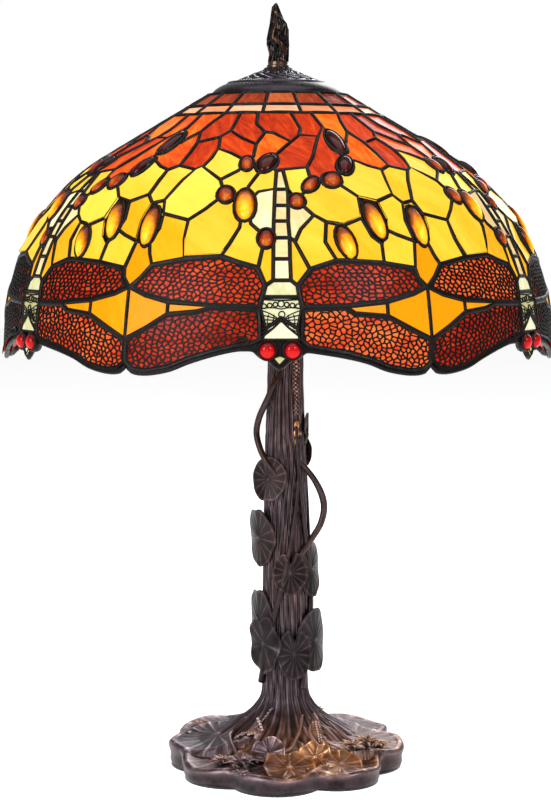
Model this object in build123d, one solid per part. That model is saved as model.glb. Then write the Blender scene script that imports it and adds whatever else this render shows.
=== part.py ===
from build123d import *
import math
import os

# Leaded-glass dragonfly table lamp. Millimetres, +Z up.
# The origin is the centre of the underside, on the axis that the shade turns about.
# Azimuth 0 is the front of the lamp (-Y) and grows towards +X.

# ---------------------------------------------------------------- driving dimensions
FELT = 1.5                  # thickness of the pad under the foot
TRUNK_X = 5.5               # the castings stand this far off the rod's axis
TRUNK_BOTTOM = 46.0
TRUNK_TOP = 316.0
HUB_Z = 330.0               # centre of the lamp cluster
CAP_TOP = 520.5             # top face of the heat cap
FINIAL_TOP = 567.4

ROD_R = 5.0                 # M10 tube
ROD_BORE = 3.4
RUNNING_GAP = 0.3           # clearance of every turning fit

SHADE_TOP_R = 48.0          # the dome's profile: a cone, an arc and a short skirt
SHADE_TOP_Z = 500.0
CONE_ANGLE = math.radians(31)
SKIRT_ANGLE = math.radians(87)
CONE_LENGTH = 92.0
DOME_RADIUS = 151.0
ARC_LENGTH = DOME_RADIUS * (SKIRT_ANGLE - CONE_ANGLE)
SHADE_START = 3.0
SHADE_END = 263.5
PERIODS = 6
PERIOD = 360 / PERIODS

LEADING = 5.0               # depth of the came
GLASS = 3.0
HALF_LEAD = 1.1             # half the width of a lead line
WING_LEAD = 3.0             # heavier edge round a wing
FOIL_RING = 1.6             # solder ring round a jewel
PLATE_DEPTH = 8.0           # how far a window tool reaches each side of the dome
WING_DEPTH = 18.0

BULB_TILT = 45.0
SOCKET_BACK = 32.0          # from the hub's centre along an arm
SOCKET_DEPTH = 30.0
COUPLING_R = 8.0
BULB_R = 30.0

INLET_Z = 8.0               # height of the cord's way through the back of the foot
LEAF = 2.4                  # thickness of a leaf on the trunk
STALK = 5.0

# ---------------------------------------------------------------- the dome


def profile(s):
    """Radius, height and slope at arc length s below the dome's top edge."""
    if s < CONE_LENGTH:
        return (SHADE_TOP_R + s * math.cos(CONE_ANGLE), SHADE_TOP_Z - s * math.sin(CONE_ANGLE), CONE_ANGLE)
    r1 = SHADE_TOP_R + CONE_LENGTH * math.cos(CONE_ANGLE)
    z1 = SHADE_TOP_Z - CONE_LENGTH * math.sin(CONE_ANGLE)
    centre_r = r1 - DOME_RADIUS * math.sin(CONE_ANGLE)
    centre_z = z1 - DOME_RADIUS * math.cos(CONE_ANGLE)
    slope = min(CONE_ANGLE + (s - CONE_LENGTH) / DOME_RADIUS, SKIRT_ANGLE)
    rest = max(0.0, s - CONE_LENGTH - ARC_LENGTH)
    r = centre_r + DOME_RADIUS * math.sin(slope) + rest * math.cos(slope)
    z = centre_z + DOME_RADIUS * math.cos(slope) - rest * math.sin(slope)
    return r, z, slope


def across(s, offset):
    """Point of the XZ section at arc length s, offset outwards."""
    r, z, slope = profile(s)
    return (r + offset * math.sin(slope), 0, z + offset * math.cos(slope))


def on_dome(place, offset=0.0):
    """3-D point at (azimuth in degrees, arc length)."""
    azimuth, s = place
    r, _, z = across(s, offset)
    a = math.radians(azimuth)
    return Vector(r * math.sin(a), -r * math.cos(a), z)


def normal_at(place):
    azimuth, s = place
    slope = profile(s)[2]
    a = math.radians(azimuth)
    return Vector(math.sin(slope) * math.sin(a), -math.sin(slope) * math.cos(a), math.cos(slope))


def down_at(place, tilt):
    """Unit direction in the dome's surface: tilt 0 runs down the dome, 90 runs towards +azimuth."""
    azimuth, s = place
    slope = profile(s)[2]
    a = math.radians(azimuth)
    down = Vector(math.cos(slope) * math.sin(a), -math.cos(slope) * math.cos(a), -math.sin(slope))
    side = Vector(math.cos(a), math.sin(a), 0)
    t = math.radians(tilt)
    return down * math.cos(t) + side * math.sin(t)


def dome_shell(s0, s1, low, high, arc=PERIOD, centre=0.0):
    """Sector of the dome between two offsets and two arc lengths."""
    knots = [s0]
    knots += [s for s in (CONE_LENGTH, CONE_LENGTH + ARC_LENGTH) if s0 < s < s1]
    knots.append(s1)
    edges = []
    for offset in (low, high):
        for a, b in zip(knots, knots[1:]):
            middle = (a + b) / 2
            if CONE_LENGTH <= a and b <= CONE_LENGTH + ARC_LENGTH + 1e-6:
                edges.append(ThreePointArc(across(a, offset), across(middle, offset), across(b, offset)))
            else:
                edges.append(Line(across(a, offset), across(b, offset)))
    edges.append(Line(across(s0, low), across(s0, high)))
    edges.append(Line(across(s1, low), across(s1, high)))
    section = Face(Wire.combine(edges)[0])
    solid = revolve(section, Axis.Z, arc)
    return Rot(0, 0, centre - 90 - arc / 2) * solid


# ---------------------------------------------------------------- flat pieces set in the dome
# A cell is an outline of (azimuth, arc length) points. Its sides all aim at one point inside the
# dome, so they are flat, and so are the two faces of the plate.


def to_map(cell, centre):
    """Local flat map of an outline, in millimetres round its centre."""
    flat = []
    for azimuth, s in cell:
        flat.append((math.radians(azimuth - centre[0]) * profile(s)[0], s - centre[1]))
    return flat


def from_map(flat, centre):
    places = []
    for x, y in flat:
        s = centre[1] + y
        places.append((centre[0] + math.degrees(x / profile(s)[0]), s))
    return places


def middle_of(cell):
    return (sum(p[0] for p in cell) / len(cell), sum(p[1] for p in cell) / len(cell))


def area_of(flat):
    return sum(a[0] * b[1] - b[0] * a[1] for a, b in zip(flat, flat[1:] + flat[:1])) / 2


def shrink(flat, amount):
    """Outline moved inwards by amount, corner by corner."""
    if area_of(flat) < 0:
        flat = flat[::-1]
    moved = []
    for before, here, after in zip(flat[-1:] + flat[:-1], flat, flat[1:] + flat[:1]):
        u = (Vector(*here) - Vector(*before)).normalized()
        v = (Vector(*after) - Vector(*here)).normalized()
        nu = Vector(-u.Y, u.X)
        nv = Vector(-v.Y, v.X)
        bisector = nu + nv
        reach = amount / max(0.35, bisector.dot(nu))
        moved.append((here[0] + bisector.X * reach, here[1] + bisector.Y * reach))
    return moved


def ellipse(jewel, grow, centre, corners=16):
    """Jewel's outline in the flat map round centre; its corners lie just outside the true ellipse."""
    place, half_length, half_width, tilt = jewel
    x0, y0 = to_map([place], centre)[0]
    swell = 1 / math.cos(math.pi / corners)
    t = math.radians(tilt)
    points = []
    for k in range(corners):
        f = 2 * math.pi * k / corners
        along = (half_length + grow) * swell * math.cos(f)
        side = (half_width + grow) * swell * math.sin(f)
        points.append((x0 + along * math.sin(t) + side * math.cos(t),
                       y0 + along * math.cos(t) - side * math.sin(t)))
    return points


def flat_face(flat):
    return Face(Wire.make_polygon([Vector(x, y, 0) for x, y in flat]))


def cut_by_jewels(cell, jewels, lead):
    """Outlines that are left of a cell after its lead and the jewels' solder rings."""
    centre = middle_of(cell)
    flat = shrink(to_map(cell, centre), lead)
    reach = max(math.hypot(x, y) for x, y in flat)
    near = []
    for jewel in jewels:
        x, y = to_map([jewel[0]], centre)[0]
        if math.hypot(x, y) < reach + jewel[1] + FOIL_RING:
            near.append(flat_face(ellipse(jewel, FOIL_RING, centre)))
    if not near:
        return [from_map(flat, centre)]
    left = flat_face(flat) - near
    outlines = []
    for face in left.faces():
        if face.area > 16:
            edges = face.outer_wire().order_edges()
            corners = [(e.position_at(0).X, e.position_at(0).Y) for e in edges]
            outlines.append(from_map(corners, centre))
    return outlines


def plate(cell, low, high):
    """Flat solid filling a cell from low to high across the dome's middle surface."""
    centre = middle_of(cell)
    anchor = on_dome(centre)
    normal = normal_at(centre)
    eye = anchor - normal * 150
    corners = [on_dome(p) for p in cell]
    sag = sum(normal.dot(c - anchor) for c in corners) / len(corners) / 2
    layers = []
    for height in (low + sag, high + sag):
        layers.append([eye + (c - eye) * ((150 + height) / normal.dot(c - eye)) for c in corners])
    bottom, top = layers
    faces = [Face(Wire.make_polygon(bottom)), Face(Wire.make_polygon(top))]
    for i in range(len(corners)):
        j = (i + 1) % len(corners)
        faces.append(Face(Wire.make_polygon([bottom[i], bottom[j], top[j], top[i]])))
    return Solid(Shell(faces))


def glass_plate(cell):
    return plate(cell, -GLASS / 2, GLASS / 2)


def window(cell, depth=PLATE_DEPTH):
    return plate(cell, -depth, depth)


def cabochon(jewel, dome_height):
    """Oval jewel, thickest at its middle; its girdle lies in the dome's middle surface."""
    place, half_length, half_width, tilt = jewel
    seat = Plane(on_dome(place), x_dir=down_at(place, tilt), z_dir=normal_at(place))
    return seat * scale(Sphere(1), (half_length, half_width, dome_height))


# ---------------------------------------------------------------- the pattern of one period
# Meeting points of the lead lines: (azimuth from the dragonfly's axis, arc length).
# A name with + after it is the same point one period further round, - one period back.

POINTS = {
    # under the two bands
    "a1": (-28, 35), "a2": (-19.5, 35), "a3": (-10.5, 35), "a4": (6.5, 35), "a5": (17, 35),
    "b1": (-30.7, 48), "b2": (-32, 62), "b3": (-18.8, 61), "b4": (-9.2, 51), "b5": (-5, 63),
    "b6": (8.1, 48), "b7": (8.9, 58), "b8": (18.6, 56),
    # orange, second row
    "c1": (-29, 77), "c2": (-25, 73), "c3": (-21.5, 70), "c4": (-12.6, 72), "c5": (-7.4, 80),
    "c6": (-1.4, 65), "c7": (4.3, 77), "c8": (7.6, 68), "c9": (14.5, 70), "c10": (23.8, 77),
    "d1": (-28.3, 92), "d2": (-19.3, 87), "d3": (-14.4, 92.5), "d4": (-11, 98.5), "d5": (-7.3, 97),
    "d6": (1.2, 87), "d7": (11.8, 85), "d8": (10.3, 96),
    # under the dark jewels
    "j1": (20, 78), "j2": (18.9, 107), "j3": (13.5, 123), "j4": (8.2, 126.5), "j5": (4.2, 142),
    "j10": (-7.5, 145), "j11": (-12.4, 136), "j12": (-2.5, 171), "j13": (-8.7, 105), "j14": (-3, 105),
    # first amber row
    "e1": (-28.1, 108), "e2": (-31.2, 112.5), "e3": (-22.6, 112.5), "e4": (-19.7, 99),
    "e5": (-20.9, 109.5), "e6": (-10.6, 113.5), "e7": (-14.6, 123), "e8": (-5.5, 118.5),
    "e10": (7.7, 110.5), "e11": (22.2, 102), "e12": (25.4, 108), "e13": (16.3, 131),
    "e14": (18.8, 139), "e15": (23.1, 143), "e16": (27.8, 137), "e17": (29.8, 144),
    "e18": (-27.2, 141.5), "e19": (-24.8, 123), "e20": (28.2, 124), "e21": (-13.6, 130),
    "e22": (-7.2, 129), "e23": (-4.7, 134.5),
    # second amber row
    "f1": (-26.1, 153), "f2": (-22.7, 155.5), "f3": (-19.7, 158), "f4": (-16.5, 149),
    "f5": (-8.2, 163.5), "f6": (-5.8, 160.5), "f7": (-4.3, 165), "f8": (7.7, 154),
    "f9": (10.2, 159.5), "f10": (13.9, 162), "f11": (18.2, 156.5), "f12": (19.8, 170),
    "f13": (21.6, 175.5), "f14": (23.3, 165), "f15": (24, 157), "f16": (29.3, 174),
    "f17": (28.8, 158), "f18": (25.6, 169), "f19": (-27.5, 174.5), "f20": (-26.1, 164),
    # amber above the wings
    "g1": (-26.8, 183), "g2": (-25.8, 190.5), "g3": (-19.7, 172), "g4": (-18.8, 186),
    "g5": (-10, 176), "g6": (-11.3, 184), "g7": (-7.9, 188), "g8": (-3.9, 192), "g9": (-3.2, 179),
    "g10": (3.4, 174), "g11": (4.7, 164.5), "g12": (4.7, 183), "g13": (6.1, 193),
    "g14": (9.6, 174), "g15": (11.5, 187), "g16": (13.7, 187), "g17": (21.3, 189), "g18": (28, 193),
    # rails of the tail
    "l0": (-0.5, 114), "l1": (-0.8, 132), "l2": (-0.9, 146), "l3": (-1, 158.5), "l4": (-1, 171),
    "l5": (-1, 186), "l6": (-1, 200.5),
    "r0": (1.2, 113), "r1": (2.3, 132), "r2": (2.2, 146), "r3": (2.1, 158.5), "r4": (2.3, 171),
    "r5": (2.3, 186), "r6": (2.4, 200.5),
    # thorax, wings and the panes between the wings
    "h1": (-2.4, 204), "h2": (3.6, 204), "h3": (-2.9, 211.5), "h4": (3.9, 211.5),
    "h5": (-3.4, 219), "h6": (4.4, 219), "h7": (-3.1, 239.5), "h8": (4.1, 239.5),
    "p1": (-2.4, 232), "p2": (0.5, 225), "p3": (3.6, 232),
    "w1": (-13, 218), "w2": (-21.3, 215.5), "w3": (-26.3, 211.3), "w4": (-30, 206), "w5": (-27.8, 199),
    "w6": (28.4, 199.5), "w7": (26.8, 210.5), "w8": (21, 215.5), "w9": (13, 218.2),
    "k1": (-30, 240), "k2": (-25.6, 232), "k3": (-21.3, 223), "k4": (-15.5, 221),
    "k5": (14.5, 222.3), "k6": (21, 224.3), "k7": (26.2, 233.5),
    "m1": (-30, 255.5), "m2": (-28.3, 260), "m3": (-25.5, 261), "m4": (-21, 258), "m5": (-17, 252.5),
    "m6": (-12.5, 247.5), "m7": (-8, 243.8), "m8": (-5.2, 242.5),
    "n1": (28.3, 260), "n2": (25.5, 261), "n3": (21, 258), "n4": (17, 252.5), "n5": (12.8, 248.5),
    "n6": (8.5, 245.8), "n7": (5.6, 244.2),
}

CELLS = {
    "glass_orange": [
        "a1 a2 b3 c3 c2 c1 b2 b1", "a2 a3 b4 b5 c5 c4 b3", "a3 a4 b6 b7 c8 c7 c6 b5 b4",
        "a4 a5 b8 c9 c8 b7 b6", "a5 a1+ b1+ b2+ c10 j1 b8",
        "c3 b3 c4 c5 d5 j13 d4 d3 d2", "c1 c2 c3 d2 e4 e5 e3 e1 d1", "c5 b5 c6 c7 d6 j14 j13 d5",
        "c7 c8 c9 d7 d8 e10 r0 l0 j14 d6", "c9 b8 j1 j2 j3 j4 e10 d8 d7",
        "b2+ c1+ d1+ e1+ e2+ e12 e11 j2 j1 c10",
    ],
    "glass_amber": [
        "d2 d3 d4 j13 e6 e7 e5 e4", "e7 e6 j13 j14 e8 e22 j10 j11 e21", "e8 j14 l0 l1 e23 j10 e22",
        "e3 e5 e7 e21 j11 f4 f3 f2 f1 e18 e19", "e2 e1 e3 e19 e18 e17- e16- e20-",
        "f3 f4 j11 j10 f5 g5 g6 g4 g3", "f1 f2 f3 g3 g4 g2 g1 f19 f20",
        "f5 j10 f6 f7 j12 g9 g8 g7 g6 g5", "j12 l4 l5 l6 h1 g8 g9", "r0 e10 j4 j5 r1",
        "j5 j4 j3 e13 e14 f11 f10 f9 f8", "f8 f9 g14 g15 g13 g12 g10 g11",
        "g10 g12 g13 h2 r6 r5 r4", "f9 f10 g16 g15 g14", "f10 f11 f12 f13 g17 g16",
        "e11 e12 e2+ e20 e16 e15 e14 e13 j3 j2", "e14 e15 f15 f14 f13 f12 f11",
        "e15 e16 e17 f17 f16 f18 f14 f15", "e17 e18+ f1+ f20+ f19+ f16 f17",
        "f14 f18 f16 g18 g17 f13",
    ],
    "glass_side_panes": [
        "f16 f19+ g1+ g2+ w5+ w4+ w6 g18", "w4 w3 w2 k3 k2 k1", "w2 w1 k4 k3",
        "w9 w8 k6 k5", "w8 w7 w4+ k1+ k7 k6",
    ],
    "glass_cream": ["j10 e23 l1 l2 l3 l4 j12 f7 f6", "r1 j5 f8 g11 g10 r4 r3 r2"],
    "glass_tail": ["l0 r0 r1 l1", "l1 r1 r2 l2", "l2 r2 r3 l3", "l3 r3 r4 l4",
                   "l4 r4 r5 l5", "l5 r5 r6 l6"],
    "glass_thorax": ["l6 r6 h2 h4 h3 h1", "h3 h4 h6 p3 p2 p1 h5", "p1 p2 p3 h8 h7"],
}

WINGS = {
    "upper": ["g2 g4 g6 g7 g8 h1 h3 h5 w1 w2 w3 w4 w5",
              "g13 g15 g16 g17 g18 w6 w4+ w7 w8 w9 h6 h4 h2"],
    "lower": ["h5 w1 k4 k3 k2 k1 m1 m2 m3 m4 m5 m6 m7 m8 h7",
              "h6 w9 k5 k6 k7 k1+ m1+ n1 n2 n3 n4 n5 n6 n7 h8"],
}

# Lowest edge of the shade, from one notch to the next.
RIM = [(-30, 258), (-28.6, 262.6), (-25.5, 263.4), (-21, 260.6), (-17, 255.2), (-12.5, 250.2),
       (-8, 246.6), (-5, 246.4), (-4.1, 248.2), (-3.2, 251), (-1.8, 252.6), (-1.4, 254), (0.2, 258.5),
       (1.8, 254), (2.4, 252.6), (3.8, 251), (4.7, 248.4), (5.6, 247.4), (8.5, 248.8), (12.8, 251.5),
       (17, 255.2), (21, 260.6), (25.5, 263.4), (28.6, 262.6), (30, 258)]

# Jewels: (azimuth, arc length), half length, half width, tilt from straight down.
AMBER_JEWELS = [((13.9, 173.5), 11.4, 5.6, 14), ((21.2, 157.5), 14.6, 6.0, 12), ((31.4, 161.5), 14.8, 5.8, 2),
                ((-7.5, 145), 13.0, 6.5, 4)]
DARK_JEWELS = [((19.9, 76), 15.5, 5.6, 2), ((18.7, 107), 10.5, 5.2, -20), ((-3, 105), 10.5, 6, -19)]
ROUND_JEWELS = [((13.5, 123), 7, 6, -36), ((8, 127), 7, 4.2, -34), ((4.2, 142), 5.4, 5, 0),
                ((-12.4, 136), 6.5, 5.3, 20), ((-2.5, 171), 6, 5, 0), ((-8.7, 105), 7.2, 4.2, 8)]
EYES = [((-2.0, 245.6), 5.4, 5.4, 0), ((2.6, 245.6), 5.4, 5.4, 0)]
CHIN = [(-1.1, 250.8), (0.3, 249), (1.6, 250.8), (0.2, 256)]


def place_of(name):
    turn = PERIOD * (name.count("+") - name.count("-"))
    azimuth, s = POINTS[name.strip("+-")]
    return (azimuth + turn, s)


def outline(names):
    return [place_of(name) for name in names.split()]


def shifted(jewels, turn):
    return [((place[0] + turn, place[1]), a, b, tilt) for place, a, b, tilt in jewels]


EYES_AROUND = EYES + shifted(EYES, PERIOD) + shifted(EYES, -PERIOD)


def copies(solids):
    """The same solids in each of the six periods."""
    return [Rot(0, 0, PERIOD * k) * solid for k in range(PERIODS) for solid in solids]


def write(name, solids):
    solids = list(solids) if isinstance(solids, (list, tuple)) else [solids]
    shape = solids[0] if len(solids) == 1 else Compound(children=[Part(s.wrapped) for s in solids])
    export_step(shape, f"parts/{name}.step")
    print(name, len(solids))


# ---------------------------------------------------------------- shade


def band_cells():
    """Two plain rows under the cap: three panes each to a period."""
    rows = {"glass_rust_band": (SHADE_START + 1.0, 22.5), "glass_peach_band": (22.5, 35.0)}
    cells = {}
    for name, (s0, s1) in rows.items():
        cells[name] = []
        for k in range(3):
            left = -8 + 20 * (k - 1)
            cells[name].append([(left, s0), (left + 20, s0), (left + 20, s1), (left, s1)])
    return cells


def filigree_holes(cell):
    """Openings of one wing's filigree: staggered slots that stay inside the outline."""
    centre = middle_of(cell)
    edge = flat_face(shrink(to_map(cell, centre), 1.5))
    box = edge.bounding_box()
    pitch_x, pitch_y = 8.6, 6.0
    holes = []
    row = 0
    y = box.min.Y + pitch_y / 2
    while y < box.max.Y:
        x = box.min.X + pitch_x * (0.5 if row % 2 else 1.0)
        while x < box.max.X:
            quad = [(x - 3.1, y - 2), (x + 3.1, y - 2), (x + 3.1, y + 2), (x - 3.1, y + 2)]
            if all(edge.is_inside(Vector(px, py, 0)) for px, py in quad):
                holes.append(from_map(quad, centre))
            x += pitch_x
        y += pitch_y
        row += 1
    return holes


def make_shade():
    jewels = AMBER_JEWELS + DARK_JEWELS + ROUND_JEWELS + EYES
    around = jewels + shifted(jewels, -PERIOD) + shifted(jewels, PERIOD)
    tools = []
    panes = {name: [outline(c) for c in cells] for name, cells in CELLS.items()}
    panes.update(band_cells())
    for name, cells in panes.items():
        solids = []
        for cell in cells:
            for piece in cut_by_jewels(cell, around, HALF_LEAD):
                solids.append(glass_plate(piece))
                tools.append(window(piece))
        write(name, copies(solids))
    chin = cut_by_jewels(CHIN, around, 0.6)[0]
    write("glass_chin", copies([glass_plate(chin)]))
    tools.append(window(chin))

    glass_shell = dome_shell(170, SHADE_END + 6, -GLASS / 2, GLASS / 2, PERIOD + 20)
    skin_shell = dome_shell(170, SHADE_END + 6, GLASS / 2, GLASS / 2 + 0.9, PERIOD + 20)
    for level, wings in WINGS.items():
        glass, skins = [], []
        for names in wings:
            cell = cut_by_jewels(outline(names), EYES_AROUND, WING_LEAD)[0]
            tool = window(cell, WING_DEPTH)
            tools.append(tool)
            glass += (glass_shell & tool).solids()
            skin = skin_shell & tool
            skins += (skin - [window(h) for h in filigree_holes(cell)]).solids()
        write(f"wing_glass_{level}", copies(glass))
        write(f"wing_filigree_{level}", copies(skins))

    thorax = cut_by_jewels(outline("h3 h4 h6 h8 h7 h5"), [], 1.4)[0]
    body_shell = dome_shell(170, SHADE_END + 6, LEADING / 2, LEADING / 2 + 0.8, PERIOD + 20)
    body_skin = (body_shell & window(thorax)) - [window(h) for h in filigree_holes(thorax)]
    write("body_filigree", copies(body_skin.solids()))

    groups = {"jewels_amber": (AMBER_JEWELS, 5.0), "jewels_dark": (DARK_JEWELS, 5.0),
              "jewels_round": (ROUND_JEWELS, 4.2), "dragonfly_eyes": (EYES, 5.2)}
    for name, (stones, height) in groups.items():
        write(name, copies([cabochon(stone, height) for stone in stones]))
        for stone in stones:
            hole = from_map(ellipse(stone, 0, stone[0]), stone[0])
            tools.append(window(hole))

    for a, b in zip(RIM, RIM[1:]):
        tools.append(window(rim_gap(a, b), WING_DEPTH))
    write("leading", copies(leading_tiles(tools)))


def rim_gap(a, b):
    """Everything below one stretch of the rim, a little wider than it, so that neighbours overlap."""
    wider = 0.25
    rise = (b[1] - a[1]) / (b[0] - a[0]) * wider
    left, right = (a[0] - wider, a[1] - rise), (b[0] + wider, b[1] + rise)
    return [left, right, (right[0], right[1] + 34), (left[0], left[1] + 34)]


def leading_tiles(tools):
    """The lattice of one period, built tile by tile: three across and six down."""
    rings = [SHADE_START, 35.0, 112.0, 160.0, 200.0, 235.0, SHADE_END]
    near = [[Rot(0, 0, turn) * tool for tool in tools] for turn in (-PERIOD, 0, PERIOD)]
    near = [tool for group in near for tool in group]
    boxes = [tool.bounding_box() for tool in near]
    solids = []
    for s0, s1 in zip(rings, rings[1:]):
        for centre in (-PERIOD / 3, 0, PERIOD / 3):
            tile = dome_shell(s0, s1, -LEADING / 2, LEADING / 2, PERIOD / 3, centre)
            own = tile.bounding_box()
            close = [t for t, b in zip(near, boxes) if meets(own, b)]
            left = tile - close
            solids += [s for s in left.solids() if s.volume > 1.0]
    return solids


def meets(a, b):
    return all(getattr(a.min, k) < getattr(b.max, k) and getattr(b.min, k) < getattr(a.max, k)
               for k in "XYZ")


# ---------------------------------------------------------------- turned parts


def turned(points, centre_x=0.0):
    """Solid of revolution from (radius, height) corners."""
    section = Face(Wire.make_polygon([Vector(r, 0, z) for r, z in points]))
    return Pos(centre_x, 0, 0) * revolve(section, Axis.Z, 360)


def tube(outer, inner, z0, z1):
    return turned([(inner, z0), (outer, z0), (outer, z1), (inner, z1)])


def hexagon(across_flats, bore, z0, z1):
    prism = extrude(RegularPolygon(across_flats / 2, 6, major_radius=False), z1 - z0)
    return Pos(0, 0, z0) * prism - Pos(0, 0, (z0 + z1) / 2) * Cylinder(bore, 2 * (z1 - z0))


def make_cap():
    """Spun bronze cap: a shallow cone over the shade's aperture, pierced in a ring of slots."""
    outer = [(10, 520.5), (16, 517.3), (26.8, 512.9), (37.6, 508.4), (45.8, 504), (48.7, 500.6),
             (48.7, 499.4)]
    bore = ROD_R + RUNNING_GAP
    inner = [(47.2, 499.4), (47.2, 500.2), (44.9, 502.8), (36.9, 506.9), (26.2, 511.3), (15.4, 515.7),
             (10, 518.7)]
    cap = turned([(bore, 518.7), (bore, CAP_TOP)] + outer + inner)
    slots = [Rot(0, 0, 20 * k) * Pos(31, 0, 510) * Box(6.5, 3.2, 12) for k in range(18)]
    write("heat_cap", cap - slots)
    ring = dome_shell(-5, SHADE_START, -LEADING / 2, -1.0, 360, 0)
    write("shade_top_ring", ring)


def make_finial():
    bore = ROD_R + RUNNING_GAP
    collar = [(bore, CAP_TOP), (8.2, CAP_TOP), (8.2, 522), (7.4, 522.6), (7.4, 524.5), (bore, 524.5)]
    write("finial_collar", turned(collar))
    body = turned([(0, 524.5), (7.2, 524.5), (8.6, 530), (8.8, 545), (8.2, 553), (4, 557), (0, 557)])
    ridge = Pos(-1.5, 0, 556) * Rot(0, -14, 0) * Cylinder(4.2, 22.2)
    left = Pos(-5.5, 0, 540) * Rot(0, 8, 0) * Cylinder(3.5, 30)
    right = Pos(5.2, 0, 541) * Rot(0, -9, 0) * Cylinder(3.6, 26)
    solid = body + ridge + left + right
    solid = solid & Pos(0, 0, (CAP_TOP + 4 + FINIAL_TOP) / 2) * Box(40, 40, FINIAL_TOP - CAP_TOP - 4)
    solid = solid - Pos(0, 0, 529.5) * Cylinder(bore, 10.2)
    write("finial_casting", solid)


# ---------------------------------------------------------------- lamp cluster, sockets, bulbs


def along_arm(side):
    """Frame whose Z runs out along one socket's axis from the hub's centre."""
    a = math.radians(BULB_TILT)
    return Plane((0, 0, HUB_Z), x_dir=(0, 1, 0), z_dir=(side * math.sin(a), 0, math.cos(a)))


def make_cluster():
    collar = [(ROD_R, TRUNK_TOP), (15, TRUNK_TOP), (17, 318), (17, 320), (9, 321), (ROD_R, 321)]
    write("trunk_collar", turned(collar))
    back = SOCKET_BACK
    hub = tube(15, ROD_R, 321, 339)
    arms = [along_arm(side) * Pos(0, 0, (4 + back) / 2) * Cylinder(8.5, back - 4) for side in (-1, 1)]
    hub = (hub + arms) - Pos(0, 0, HUB_Z) * Cylinder(ROD_R, 30)
    hub = hub - Pos(0, 0, 359) * Cylinder(COUPLING_R + 0.3, 40)
    wire_ways = [along_arm(side) * Pos(0, 0, 20) * Cylinder(2, 28) for side in (-1, 1)]
    write("cluster_body", (hub - wire_ways).solids()[0])
    wires = [along_arm(side) * Pos(0, 0, (13 + back + 1) / 2) * Cylinder(1.4, back - 12)
             for side in (-1, 1)]
    write("socket_wires", wires)
    names = {-1: "left", 1: "right"}
    for side, word in names.items():
        frame = along_arm(side) * Pos(0, 0, back)
        depth = SOCKET_DEPTH
        cup = turned([(3, 0), (17.5, 0), (17.5, depth), (16.3, depth), (16.3, 1.4), (3, 1.4)])
        write(f"socket_shell_{word}", frame * cup)
        inner = 13.2 + RUNNING_GAP
        ring = turned([(3, 1.4), (16.3, 1.4), (16.3, depth - 2), (inner, depth - 2), (inner, 4), (3, 4)])
        write(f"socket_insulator_{word}", frame * ring)
        write(f"socket_contact_{word}", frame * turned([(0, 1), (2.9, 1), (2.9, 4.8), (0, 4.8)]))
        cap = turned([(0, 5.2), (4, 5.2), (4.5, 6.5), (12, 8), (13.2, 9), (13.2, depth), (0, depth)])
        write(f"bulb_cap_{word}", frame * cap)
        write(f"bulb_glass_{word}", frame * bulb_envelope())


def bulb_envelope():
    """Pear-shaped envelope, hollow, standing on the screw cap. Its frame starts at the socket's back."""
    tip = SOCKET_DEPTH + 80
    ball = tip - BULB_R
    neck_r = 13.0
    wall = 1.0

    def half(offset, start):
        r = BULB_R - offset
        waist = ball - 22
        side = math.sqrt(r * r - 22 * 22)
        curve = Spline((neck_r - offset, 0, start), (neck_r + 1.8 - offset, 0, start + 16), (side, 0, waist),
                       tangents=[(0, 0, 1), (22 / r, 0, side / r)])
        middle = (r * math.cos(0.2), 0, ball + r * math.sin(0.2))
        return [curve, ThreePointArc((side, 0, waist), middle, (0, 0, ball + r))]

    def solid(offset, start, top):
        edges = half(offset, start)
        edges += [Line((0, 0, top), (0, 0, start)), Line((0, 0, start), (neck_r - offset, 0, start))]
        return revolve(Face(Wire.combine(edges)[0]), Axis.Z, 360)

    return solid(0, SOCKET_DEPTH, tip) - solid(wall, SOCKET_DEPTH + wall, tip - wall)


def make_riser():
    write("center_rod", tube(ROD_R, ROD_BORE, 6, 348))
    write("supply_wire", Pos(0, 0, 170) * Cylinder(2.4, 310))
    write("rod_coupling", tube(COUPLING_R, ROD_R, 339, 357))
    write("riser_tube", tube(ROD_R, ROD_BORE, 348, 533))
    write("seat_nut", hexagon(17, ROD_R, 509.4, 515.4))
    write("seat_disc", tube(9.6, ROD_R, 515.4, 518.6))


# ---------------------------------------------------------------- base

PADS = [(-46, -8, 36), (-34, -46, 36), (-1, -68, 34), (42, -54, 33), (58, -12, 36), (46, 34, 38),
        (4, 58, 36), (-38, 38, 38)]                # lily pads: centre and radius


def pad_sheet(margin, z0, z1):
    """The foot's lobed outline, drawn in by margin, as a slab."""
    sketch = Pos(TRUNK_X, 0) * Circle(66 - margin)
    for x, y, r in PADS:
        sketch = sketch + Pos(x, y) * Circle(r - margin)
    return Pos(0, 0, z0) * extrude(sketch, z1 - z0)


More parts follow.
